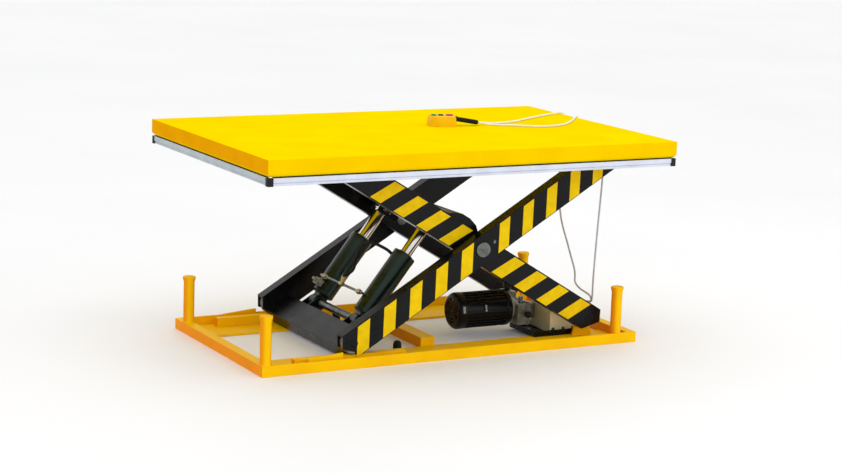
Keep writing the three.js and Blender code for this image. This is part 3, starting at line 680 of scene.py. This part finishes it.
def ram(word):
    y = middle(f"ram_head_pin_{word}").y
    origin = Vector((RAM_FOOT.x, y, RAM_FOOT.z))
    place = frame_at(origin, RAM_AXIS, Y)
    eye = frame_at(origin, Y, X)
    length = RAM_LENGTH / MM

    def barrel(mesh):
        turned(mesh, [
            (0, 30), (38, 30), (41, 33), (45, 36), (45, 40), (44.2, 42), (44.2, 284), (45, 286), (45, 304),
            (43, 307), (38, 308), (37, 306.4), (29, 306.4), (28, 308), (23.2, 308), (23.2, 290), (0, 290),
        ], place, 56)
        turned(mesh, [(0, -20), (29, -20), (30, -19), (30, 19), (29, 20), (0, 20)], eye, 48)
        block(mesh, (-19 * MM, -23 * MM, 0), (19 * MM, 23 * MM, 33 * MM), place)

    def gland(mesh):
        profile = [(23, 306.6), (28.4, 306.6), (28.4, 311), (26.4, 312.4), (23.2, 312.4), (23, 306.6)]
        turned(mesh, profile, place, 40)

    def rod(mesh):
        profile = [(0, 200), (22.5, 200), (22.5, length - 33), (20, length - 30), (0, length - 30)]
        turned(mesh, profile, place, 48)
        head = frame_at(origin + RAM_AXIS * RAM_LENGTH, Y, X)
        turned(mesh, [(0, -20), (32, -20), (34, -18), (34, 18), (32, 20), (0, 20)], head, 48)

    def pin(mesh):
        head = frame_at(origin + RAM_AXIS * RAM_LENGTH, Y, X)
        turned(mesh, [(0, -34), (14, -34), (15, -33), (15, 33), (14, 34), (0, 34)], head, 32)

    add(f"ram_{word}_tube", barrel, "barrels", "ram_enamel", 0, (f"ram_barrel_{word}",))
    add(f"ram_{word}_gland", gland, "barrels", "machined_steel")
    add(f"ram_{word}_chrome_rod", rod, "rods", "hard_chrome", 0, (f"ram_rod_{word}",))
    add(f"ram_{word}_head_pin", pin, "rods", "machined_steel", 0, (f"ram_head_pin_{word}",))


for word in SIDES:
    ram(word)


def foot_shaft(mesh):
    reach = size("ram_foot_shaft").y / 2 / MM
    place = frame_at(RAM_FOOT, Y, X)
    profile = [(0, -reach), (14, -reach), (15, 1 - reach), (15, reach - 1), (14, reach), (0, reach)]
    turned(mesh, profile, place, 36)


add("ram_foot_axle", foot_shaft, "outer_frame", "machined_steel", 0, ("ram_foot_shaft",))


def link_pipe(mesh):
    low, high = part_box("ram_link_pipe")
    x, z = (low.x + high.x) / 2, (low.z + high.z) / 2
    path = [Vector((x, low.y + (high.y - low.y) * k / 24, z)) for k in range(25)]
    tube(mesh, path, 5 * MM, 16)


def pipe_fittings(mesh):
    centre = middle("ram_link_pipe")
    for y in (-148 * MM, 0, 148 * MM):
        place = frame_at(Vector((centre.x, y, centre.z)), Y, X)
        turned(mesh, [(0, -14), (9, -14), (9, -4), (11, -3), (11, 3), (9, 4), (9, 14), (0, 14)], place, 6)
    stem = frame_at(centre, Vector((0.35, 0, 0.94)), Y)
    turned(mesh, [(0, 0), (8, 0), (8, 18), (9.5, 20), (9.5, 32), (7, 34), (0, 34)], stem, 24)


add("ram_link_line", link_pipe, "barrels", "machined_steel", 0, ("ram_link_pipe",))
add("pipe_unions", pipe_fittings, "barrels", "brass")


def ram_point(y, along, across=0.0):
    """A point beside a ram: along its axis from the foot and square to it, upwards and to the left."""
    return Vector((RAM_FOOT.x, y, RAM_FOOT.z)) + RAM_AXIS * along * MM + upright(RAM_AXIS) * across * MM


def bleed_hose(mesh):
    """Hose from the union on the link pipe up to the head of the near ram."""
    centre = middle("ram_link_pipe")
    stem = Vector((0.35, 0, 0.94))
    start = centre + stem * 30 * MM
    port = middle("ram_head_pin_near").y + 43 * MM
    path = [start, ram_point(-4 * MM, 122, 66)]
    path += [ram_point(-18 * MM, 160, 58), ram_point(-30 * MM, 204, 84), ram_point(-50 * MM, 246, 104)]
    path += [ram_point(-84 * MM, 276, 96), ram_point(port + 12 * MM, 286, 52), ram_point(port, 284, 20)]
    tube(mesh, smooth_path(path, 12), 6 * MM)


def ram_valve(mesh):
    """The small lock valve on the lower port of the far ram."""
    y = middle("ram_head_pin_far").y
    place = frame_at(ram_point(y - 20 * MM, 62, 44), upright(RAM_AXIS), RAM_AXIS)
    block(mesh, (-13 * MM, -16 * MM, 0), (13 * MM, 16 * MM, 26 * MM), place)
    turned(mesh, [(0, 24), (9, 24), (9, 34), (6, 36), (6, 44), (0, 44)], place, 24)
    side = frame_at(ram_point(y - 36 * MM, 62, 57), -Y, RAM_AXIS)
    turned(mesh, [(0, 0), (8, 0), (8, 9), (5, 10), (5, 18), (0, 18)], side, 6)


add("ram_bleed_hose", bleed_hose, "barrels", "black_rubber")
add("ram_lock_valve", ram_valve, "barrels", "cast_aluminium", 0.8 * MM)


# ---------------------------------------------------------------- pump pack

def motor(mesh):
    low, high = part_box("motor_housing")
    start, end = (low.x - MOTOR_AXIS.x) / MM, (high.x - MOTOR_AXIS.x) / MM
    place = frame_at(MOTOR_AXIS, X, Y)
    turned(mesh, [
        (58, start), (66, start), (66, end - 26), (69, end - 24), (72, end - 20), (72, end - 6),
        (69, end - 2),
        (40, end), (12, end), (12, end - 10), (58, end - 10), (58, start),
    ], place, 64)
    for k in range(28):
        angle = 2 * math.pi * (k + 0.5) / 28
        fin = place @ Matrix.Rotation(angle, 4, "Z")
        block(mesh, (64 * MM, -1.4 * MM, (start + 4) * MM), (71 * MM, 1.4 * MM, (end - 24) * MM), fin)


def fan_cover(mesh):
    low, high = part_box("motor_fan_cover")
    start, end = (low.x - MOTOR_AXIS.x) / MM, (high.x - MOTOR_AXIS.x) / MM
    place = frame_at(MOTOR_AXIS, X, Y)
    turned(mesh, [
        (54, start), (58, start), (64, start + 2), (69, start + 7), (72, start + 14), (72, end), (69, end),
        (69, start + 16), (62, start + 6), (54, start + 4), (54, start),
    ], place, 64)
    for radius in (14, 25, 36, 47):
        turned(mesh, [
            (radius, start), (radius + 5, start), (radius + 5, start + 3), (radius, start + 3),
            (radius, start),
        ], place, 48)
    for k in range(6):
        spoke = place @ Matrix.Rotation(math.pi * k / 3, 4, "Z")
        block(mesh, (10 * MM, -3 * MM, (start + 0.6) * MM), (56 * MM, 3 * MM, (start + 3.4) * MM), spoke)
    turned(mesh, [(0, start), (10, start), (10, start + 3), (0, start + 3)], place, 32)


def rotor(mesh):
    low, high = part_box("motor_rotor")
    start, end = (low.x - MOTOR_AXIS.x) / MM, (high.x - MOTOR_AXIS.x) / MM
    place = frame_at(MOTOR_AXIS, X, Y)
    profile = [(0, start), (16, start), (16, start + 18), (9.5, start + 20), (9.5, end), (0, end)]
    turned(mesh, profile, place, 32)
    for k in range(9):
        blade = place @ Matrix.Rotation(2 * math.pi * k / 9, 4, "Z")
        block(mesh, (14 * MM, -1.2 * MM, (start + 1) * MM), (50 * MM, 1.2 * MM, (start + 17) * MM), blade)
    turned(mesh, [(9, start + 62), (51, start + 62), (51, end - 72), (9, end - 72)], place, 48)


def terminal_cover(mesh):
    low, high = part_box("terminal_box")
    block(mesh, low, (high.x, high.y - 9 * MM, high.z))
    lip = 2 * MM
    block(mesh, (low.x - lip, high.y - 8 * MM, low.z - lip), (high.x + lip, high.y, high.z + lip))


def motor_hardware(mesh):
    low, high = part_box("terminal_box")
    for x in (low.x + 7 * MM, high.x - 7 * MM):
        for z in (low.z + 7 * MM, high.z - 7 * MM):
            socket_head(mesh, frame_at(Vector((x, high.y - 0.4 * MM, z)), Y), 4, 3.4)


def motor_tags(mesh):
    """Two blank rating plates on the near side of the drum."""
    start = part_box("motor_fan_cover")[0].x
    for x, half in ((start + 18 * MM, 5 * MM), (start + 115 * MM, 4 * MM)):
        tag = frame_at(Vector((x, MOTOR_AXIS.y, MOTOR_AXIS.z)), Vector((0, -0.97, 0.24)), X)
        block(mesh, (-half, -13 * MM, 70 * MM), (half, 13 * MM, 72.3 * MM), tag)


def cable_gland(mesh):
    low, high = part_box("terminal_box")
    spot = Vector((high.x, (low.y + high.y) / 2 - 3 * MM, (low.z + high.z) / 2))
    place = frame_at(spot, X)
    turned(mesh, [(0, 0), (11, 0), (11, 5), (9, 6), (9, 13), (6, 16), (0, 16)], place, 6)


add("motor_body", motor, "base", "black_paint", 0.5 * MM, ("motor_housing",))
add("motor_grille", fan_cover, "base", "black_paint", 0, ("motor_fan_cover",))
add("motor_fan_rotor", rotor, "rotor", "machined_steel", 0, ("motor_rotor",))
add("terminal_cover", terminal_cover, "base", "black_paint", 1.4 * MM, ("terminal_box",))
add("motor_screws", motor_hardware, "base", "machined_steel")
add("motor_tags", motor_tags, "base", "cast_aluminium", 0.3 * MM)
add("terminal_gland", cable_gland, "base", "black_plastic")


def pump_block(mesh):
    """Bell housing, valve block and the neck that carries the tank."""
    low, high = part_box("pump_manifold")
    x, y = low.x, (low.y + high.y) / 2
    body_end = x + 85 * MM
    flange = frame_at(Vector((x, MOTOR_AXIS.y, MOTOR_AXIS.z)), X)
    turned(mesh, [(0, 0.3), (63, 0.3), (63, 7), (58, 12), (46, 22), (40, 34), (0, 34)], flange, 48)
    block(mesh, (x + 4 * MM, y - 20 * MM, 120 * MM), (x + 38 * MM, y + 46 * MM, 168 * MM))
    block(mesh, (x + 26 * MM, y - 57.6 * MM, 40 * MM), (body_end, y + 57.6 * MM, 122 * MM))
    block(mesh, (body_end - 12 * MM, y - 50 * MM, 34.4 * MM), (body_end - 1 * MM, y + 50 * MM, 127.6 * MM))
    block(mesh, (body_end - 1 * MM, y + 2 * MM, 50 * MM), (high.x, y + 38 * MM, 110 * MM))
    front = frame_at(Vector((x + 40 * MM, y - 57 * MM, 100 * MM)), -Y)
    turned(mesh, [(0, 0), (12, 0), (12, 4), (8, 6), (8, 7), (0, 7)], front, 32)
    for spot_x, z in ((38, 58), (72, 56), (72, 108)):
        plug = frame_at(Vector((x + spot_x * MM, y - 57 * MM, z * MM)), -Y)
        turned(mesh, [(0, 0), (8, 0), (8, 5), (0, 5)], plug, 6)


def valve_cartridge(mesh):
    low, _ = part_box("pump_manifold")
    place = frame_at(Vector((low.x + 56 * MM, MOTOR_AXIS.y - 26 * MM, 121 * MM)), Z)
    turned(mesh, [(0, 0), (11, 0), (11, 9), (8, 11), (8, 20), (10, 21), (10, 27), (0, 27)], place, 32)


def solenoid(mesh):
    low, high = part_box("solenoid_valve")
    centre = (low + high) / 2
    place = Matrix.Translation((centre.x, centre.y, low.z))
    profile = [
        (0, 0), (12, 0), (12, 8), (16, 8), (17, 9), (17, 35), (16, 36), (8, 36), (8, 41), (7, 42), (0, 42),
    ]
    turned(mesh, profile, place, 40)
    block(mesh, (14 * MM, -9 * MM, 12 * MM), (16.9 * MM, 9 * MM, 32 * MM), place)


def tank(mesh):
    low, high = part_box("oil_tank")
    block(mesh, low, high)


def tank_rim(mesh):
    low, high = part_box("oil_tank")
    out = 3 * MM
    block(
        mesh,
        (low.x - 0.4 * MM, low.y - out, high.z - 14 * MM),
        (high.x + out, high.y + out, high.z - 8 * MM),
    )


def tank_screws(mesh):
    low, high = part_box("oil_tank")
    for x in (low.x + 14 * MM, (low.x + high.x) / 2, high.x - 14 * MM):
        hexagon(mesh, frame_at(Vector((x, low.y - 0.2 * MM, low.z + 16 * MM)), -Y), 8 * MM, 5 * MM)


def breather(mesh):
    centre = middle("filler_cap")
    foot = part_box("oil_tank")[1].z / MM
    place = Matrix.Translation((centre.x, centre.y, 0))
    profile = [
        (0, foot - 6), (11, foot - 6), (11, foot), (19, foot + 0.3), (19, foot + 11), (17, foot + 14),
        (9, foot + 16), (0, foot + 16),
    ]
    turned(mesh, profile, place, 40)
    for k in range(18):
        rib = place @ Matrix.Rotation(2 * math.pi * k / 18, 4, "Z")
        block(mesh, (18 * MM, -1 * MM, (foot + 1.5) * MM), (19.9 * MM, 1 * MM, (foot + 10) * MM), rib)


def knob(mesh):
    centre = middle("lowering_knob")
    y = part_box("pump_manifold")[0].y
    place = frame_at(Vector((centre.x, y - 0.3 * MM, centre.z)), -Y, X)
    profile = [(0, 0), (5, 0), (5, 10), (11, 11), (12, 12.5), (12, 25), (11, 27), (4, 28), (0, 28)]
    turned(mesh, profile, place, 36)
    for k in range(12):
        rib = place @ Matrix.Rotation(math.pi * k / 6, 4, "Z")
        block(mesh, (11 * MM, -1.3 * MM, 13 * MM), (13 * MM, 1.3 * MM, 25 * MM), rib)


add("pump_body", pump_block, "base", "cast_aluminium", 1.2 * MM, ("pump_manifold",))
add("valve_cartridge", valve_cartridge, "base", "machined_steel")
add("solenoid_coil", solenoid, "base", "black_plastic", 0, ("solenoid_valve",))
add("tank_shell", tank, "base", "cream_paint", 4 * MM, ("oil_tank",))
add("tank_rim", tank_rim, "base", "cream_paint", 1 * MM)
add("tank_screws", tank_screws, "base", "machined_steel")
add("breather_cap", breather, "base", "black_plastic", 0, ("filler_cap",))
add("lowering_knob_grip", knob, "knob", "black_plastic", 0, ("lowering_knob",))


# ---------------------------------------------------------------- safety bars

def bar_outline(depth, height):
    """Section of the safety bar: x points outwards, y up. A shallow groove and a set-back lower lip."""
    half = height / 2
    lip = -half + height * 0.36
    return [
        (0, -half), (depth - 4 * MM, -half), (depth - 3 * MM, -half + 1 * MM), (depth - 3 * MM, lip - 2 * MM),
        (depth - 5 * MM, lip - 1 * MM), (depth - 5 * MM, lip), (depth, lip + 1.5 * MM),
        (depth, half - 1.5 * MM),
        (depth - 1.5 * MM, half), (0, half),
    ]


def safety_bar(node, outwards):
    low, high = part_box(node)
    centre = (low + high) / 2
    run = Z.cross(outwards)
    length = abs((high - low).dot(run))
    depth = abs((high - low).dot(outwards))
    start = centre - outwards * depth / 2 - run * length / 2
    place = Matrix((outwards, Z, outwards.cross(Z))).transposed().to_4x4()
    reverse = outwards.cross(Z).dot(run) < 0
    origin = start + run * length if reverse else start

    def build(mesh):
        prism(mesh, bar_outline(depth, high.z - low.z), length, Matrix.Translation(origin) @ place)

    add(node + "_profile", build, "safety_frame", "bar_aluminium", 0.5 * MM, (node,))


def bar_gap_shadow(node, outwards):
    """A black strip in the rubber finish on the back of a bar, up inside the skirt: a painted shadow for the dark
    gap between bar and skirt.
    """
    low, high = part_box(node)
    run = Z.cross(outwards)
    face = max(low.dot(outwards), high.dot(outwards))
    half = abs((high - low).dot(run)) / 2

    def build(mesh):
        place = Matrix((outwards, run, Z)).transposed().to_4x4()
        low_corner = (face - 10 * MM, -half, high.z - 6 * MM)
        block(mesh, low_corner, (face - 6.5 * MM, half, high.z + 11 * MM), place)

    # painted shadow: a dark strip standing in for the shade in the gap under the skirt
    add(node + "_gap_shadow", build, "safety_frame", "black_rubber")


def bar_corner(node, end, side):
    low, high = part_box(node)

    def build(mesh):
        corner = Vector((high.x if end > 0 else low.x, high.y if side > 0 else low.y, low.z))
        leg_x, leg_y = (high - low).x, (high - low).y
        thick = 15 * MM
        radius = 7 * MM
        turns = [math.pi / 2 * k / 6 for k in range(7)]
        arc = [(radius * (math.sin(t) - 1), radius * (math.cos(t) - 1)) for t in turns]
        outline = [(-leg_x, 0)] + arc + [(0, -leg_y), (-thick, -leg_y), (-thick, -thick), (-leg_x, -thick)]
        place = Matrix.Translation(corner) @ Matrix.Diagonal((end, side, 1, 1))
        prism(mesh, outline, high.z - low.z - 0.6 * MM, place)

    add(node + "_cap", build, "safety_frame", "black_plastic", 0.8 * MM, (node,))


for word, outwards in (("near", -Y), ("far", Y), ("left", -X), ("right", X)):
    safety_bar(f"safety_bar_{word}", outwards)
    bar_gap_shadow(f"safety_bar_{word}", outwards)
for word, side in SIDES.items():
    bar_corner(f"bar_corner_left_{word}", -1, side)
    bar_corner(f"bar_corner_right_{word}", 1, side)


# ---------------------------------------------------------------- control box and cables

PENDANT_TURN = math.radians(-14.4)
PENDANT_SIZE = Vector((104, 76, 40)) * MM
DECK_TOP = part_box("pendant_case")[0].z


def pendant_place():
    centre = middle("pendant_case")
    return Matrix.Translation((centre.x, centre.y, DECK_TOP)) @ Matrix.Rotation(PENDANT_TURN, 4, "Z")


def rounded_box(mesh, half_x, half_y, low_z, high_z, radius, place, crown=0.0):
    """A box with rounded upright corners, narrowed by crown at its top."""
    rings = []
    levels = (
        (low_z, 0.0), (high_z - radius * 0.6, crown * 0.3), (high_z - radius * 0.2, crown),
        (high_z, crown + radius * 0.5),
    )
    for level, inset in levels:
        ring = []
        for quarter, (sx, sy) in enumerate(((1, 1), (-1, 1), (-1, -1), (1, -1))):
            for k in range(5):
                turn = math.pi / 2 * (quarter + k / 4)
                x = sx * (half_x - radius) + (radius - inset) * math.cos(turn)
                y = sy * (half_y - radius) + (radius - inset) * math.sin(turn)
                ring.append(mesh.verts.new(place @ Vector((x, y, level))))
        rings.append(ring)
    for first, second in zip(rings, rings[1:]):
        for i in range(len(first)):
            j = (i + 1) % len(first)
            mesh.faces.new((first[i], first[j], second[j], second[i]))
    mesh.faces.new(list(reversed(rings[0])))
    mesh.faces.new(rings[-1])


def pendant_shell(mesh):
    half = PENDANT_SIZE / 2
    place = pendant_place()
    rounded_box(mesh, half.x, half.y, 0, 22 * MM, 8 * MM, place)
    rounded_box(mesh, half.x - 1.2 * MM, half.y - 1.2 * MM, 20.5 * MM, PENDANT_SIZE.z, 9 * MM, place, 2 * MM)


def pendant_button(node, body, radius):
    low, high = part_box(node)
    centre = (low + high) / 2
    top = PENDANT_SIZE.z / MM
    place = Matrix.Translation((centre.x, centre.y, DECK_TOP))
    profile = [
        (0, top - 6), (radius, top - 6), (radius, top + 3), (radius - 1, top + 4.4), (radius - 3, top + 5),
        (0, top + 4.2),
    ]
    round_piece(node + "_cap", node, profile, place, body)


BOOT_LENGTH = 95
BOOT_DROP = 15 * MM


def boot_frame():
    """Where the boot leaves the case; it slopes down to the deck."""
    start = pendant_place() @ Vector((PENDANT_SIZE.x / 2, 0, 27 * MM))
    slope = Vector((math.cos(PENDANT_TURN), math.sin(PENDANT_TURN), -BOOT_DROP / (BOOT_LENGTH * MM)))
    return frame_at(start, slope, Z)


def boot(mesh):
    profile = [(0, 0.3), (11, 0.3), (11, 8), (8.6, 10)]
    for k in range(11):
        start = 11 + k * 7.4
        profile += [(9.4, start), (9.4, start + 4.4), (7.4, start + 5), (7.4, start + 6.6)]
    profile += [(8.4, BOOT_LENGTH - 2), (7.4, BOOT_LENGTH), (0, BOOT_LENGTH)]
    turned(mesh, profile, boot_frame(), 28)


def deck_cables(mesh):
    mouth = boot_frame() @ Vector((0, 0, (BOOT_LENGTH - 6) * MM))
    z = DECK_TOP + 4.4 * MM
    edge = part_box("platform_deck")[1].x
    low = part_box("safety_bar_right")[0].z
    for points, y in ((UPPER_STRAND, 284 * MM), (LOWER_STRAND, 172 * MM)):
        path = [mouth] + [Vector((x * MM, v * MM, z)) for x, v in points]
        path += [
            Vector((edge - 2 * MM, y - 3 * MM, z + 1 * MM)), Vector((edge + 9 * MM, y, DECK_TOP - 12 * MM)),
            Vector((edge + 9 * MM, y + 2 * MM, low + 20 * MM)),
            Vector((edge - 4 * MM, y + 4 * MM, low - 14 * MM)),
            Vector((edge - 38 * MM, y + 6 * MM, low - 12 * MM)),
        ]
        tube(mesh, smooth_path(path, 12), 3.8 * MM)


UPPER_STRAND = [(375, 76), (409, 68), (503, 91), (617, 163), (738, 235)]
LOWER_STRAND = [(384, 23), (445, -9), (510, -52), (579, -66), (665, -33), (759, 59)]

add("pendant_shell", pendant_shell, "platform", "pendant_yellow", 0, ("pendant_case",))
pendant_button("button_up", "up_button", 10.6)
pendant_button("button_down", "down_button", 10.6)
pendant_button("button_stop", "stop_button", 14.6)
add("pendant_boot", boot, "platform", "black_rubber")
add("pendant_leads", deck_cables, "platform", "white_sheath", 0, ("pendant_cables",))


LEAD_END = Vector((668, -196, 128)) * MM
LEAD_RADIUS = 3.6 * MM
LEAD_SPACING = 9 * MM
FIXED_RUN = ((672, -150, 112), (668, -90, 96), (645, -52, 86), (560, -48, 80))


def hanging_leads(mesh):
    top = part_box("hanging_cables")[1].z
    straight = [(702, -272), (702, -270), (700, -256), (700, -243), (702, -238), (698, -230)]
    straight_z = [top / MM, 620, 420, 230, 150, 129]
    slack = [
        (700, 60), (700, 42), (700, 20), (700, -47), (700, -104), (700, -112), (700, -150),
        (702, -212), (702, -232), (696, -224),
    ]
    slack_z = [top / MM, 620, 440, 323, 232, 186, 166, 154, 138, 129]
    for places, heights in ((straight, straight_z), (slack, slack_z)):
        path = [Vector((x, y, z)) * MM for (x, y), z in zip(places, heights)] + [LEAD_END]
        tube(mesh, smooth_path(path, 14), LEAD_RADIUS)


def fixed_leads(mesh):
    """The cables' run round the tank's far side, from their hanging end to the terminal box."""
    low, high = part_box("terminal_box")
    y, z = (low.y + high.y) / 2, (low.z + high.z) / 2
    corners = [Vector(place) * MM for place in FIXED_RUN]
    for side in (-1, 1):
        shift = Vector((0, 0, side * LEAD_SPACING / 2))
        path = [LEAD_END] + [corner + shift for corner in corners]
        path += [Vector((high.x + 60 * MM, y, z)) + shift, Vector((high.x - 2 * MM, y, z)) + shift]
        tube(mesh, smooth_path(path, 10), LEAD_RADIUS)


add("fixed_leads", fixed_leads, "base", "grey_sheath")
leads = add("hanging_leads", hanging_leads, "base", "grey_sheath", 0, ("hanging_cables",))
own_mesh(leads)


# ---------------------------------------------------------------- camera, light, floor

FLOOR_REACH = 30
FLOOR_DROP = 0.4 * MM
CAMERA_PLACE = (-3.8374, -7.1701, 1.9085)
CAMERA_YAW, CAMERA_PITCH, CAMERA_ROLL = math.radians(-28.487), math.radians(10.561), math.radians(1.898)
CAMERA_LENS = 91.36
CAMERA_SENSOR = 36
LAMP_AIM = (0, 0, 0.4)


def pale_floor():
    mesh = bpy.data.meshes.new("floor")
    corners = [(x * FLOOR_REACH, y * FLOOR_REACH, 0) for x, y in ((-1, -1), (1, -1), (1, 1), (-1, 1))]
    mesh.from_pydata(corners, [], [(0, 1, 2, 3)])
    floor = bpy.data.objects.new("floor", mesh)
    bpy.context.scene.collection.objects.link(floor)
    floor.location.z = -FLOOR_DROP
    finish = Finish("floor_white", roughness=0.6, spread=0.02)
    finish.colour(rgb(250, 250, 250), rgb(247, 247, 248), 0.6)
    mesh.materials.append(finish.material)


def camera():
    level = math.cos(CAMERA_PITCH)
    back = Vector((math.sin(CAMERA_YAW) * level, -math.cos(CAMERA_YAW) * level, math.sin(CAMERA_PITCH)))
    right = Vector((math.cos(CAMERA_YAW), math.sin(CAMERA_YAW), 0))
    up = back.cross(right)
    turned_right = right * math.cos(CAMERA_ROLL) + up * math.sin(CAMERA_ROLL)
    turned_up = up * math.cos(CAMERA_ROLL) - right * math.sin(CAMERA_ROLL)
    data = bpy.data.cameras.new("camera")
    data.sensor_width = CAMERA_SENSOR
    data.lens = CAMERA_LENS
    data.clip_end = 200
    eye = bpy.data.objects.new("camera", data)
    turn = Matrix((turned_right, turned_up, back)).transposed().to_4x4()
    eye.matrix_world = Matrix.Translation(CAMERA_PLACE) @ turn
    bpy.context.scene.collection.objects.link(eye)
    bpy.context.scene.camera = eye


def area_light(name, place, width, power):
    data = bpy.data.lights.new(name, "AREA")
    data.shape = "SQUARE"
    data.size = width
    data.energy = power
    lamp = bpy.data.objects.new(name, data)
    lamp.location = place
    lamp.rotation_euler = (Vector(LAMP_AIM) - Vector(place)).to_track_quat("-Z", "Y").to_euler()
    bpy.context.scene.collection.objects.link(lamp)


def studio():
    world = bpy.data.worlds.new("studio")
    world.use_nodes = True
    background = world.node_tree.nodes["Background"]
    background.inputs["Color"].default_value = (1, 1, 1, 1)
    background.inputs["Strength"].default_value = 1.0
    bpy.context.scene.world = world
    area_light("overhead", (0.4, -0.6, 4.5), 3.0, 22)
    area_light("front", (2.5, -6.0, 2.6), 2.0, 26)
    bpy.context.scene.view_settings.view_transform = "Standard"


pale_floor()
camera()
studio()
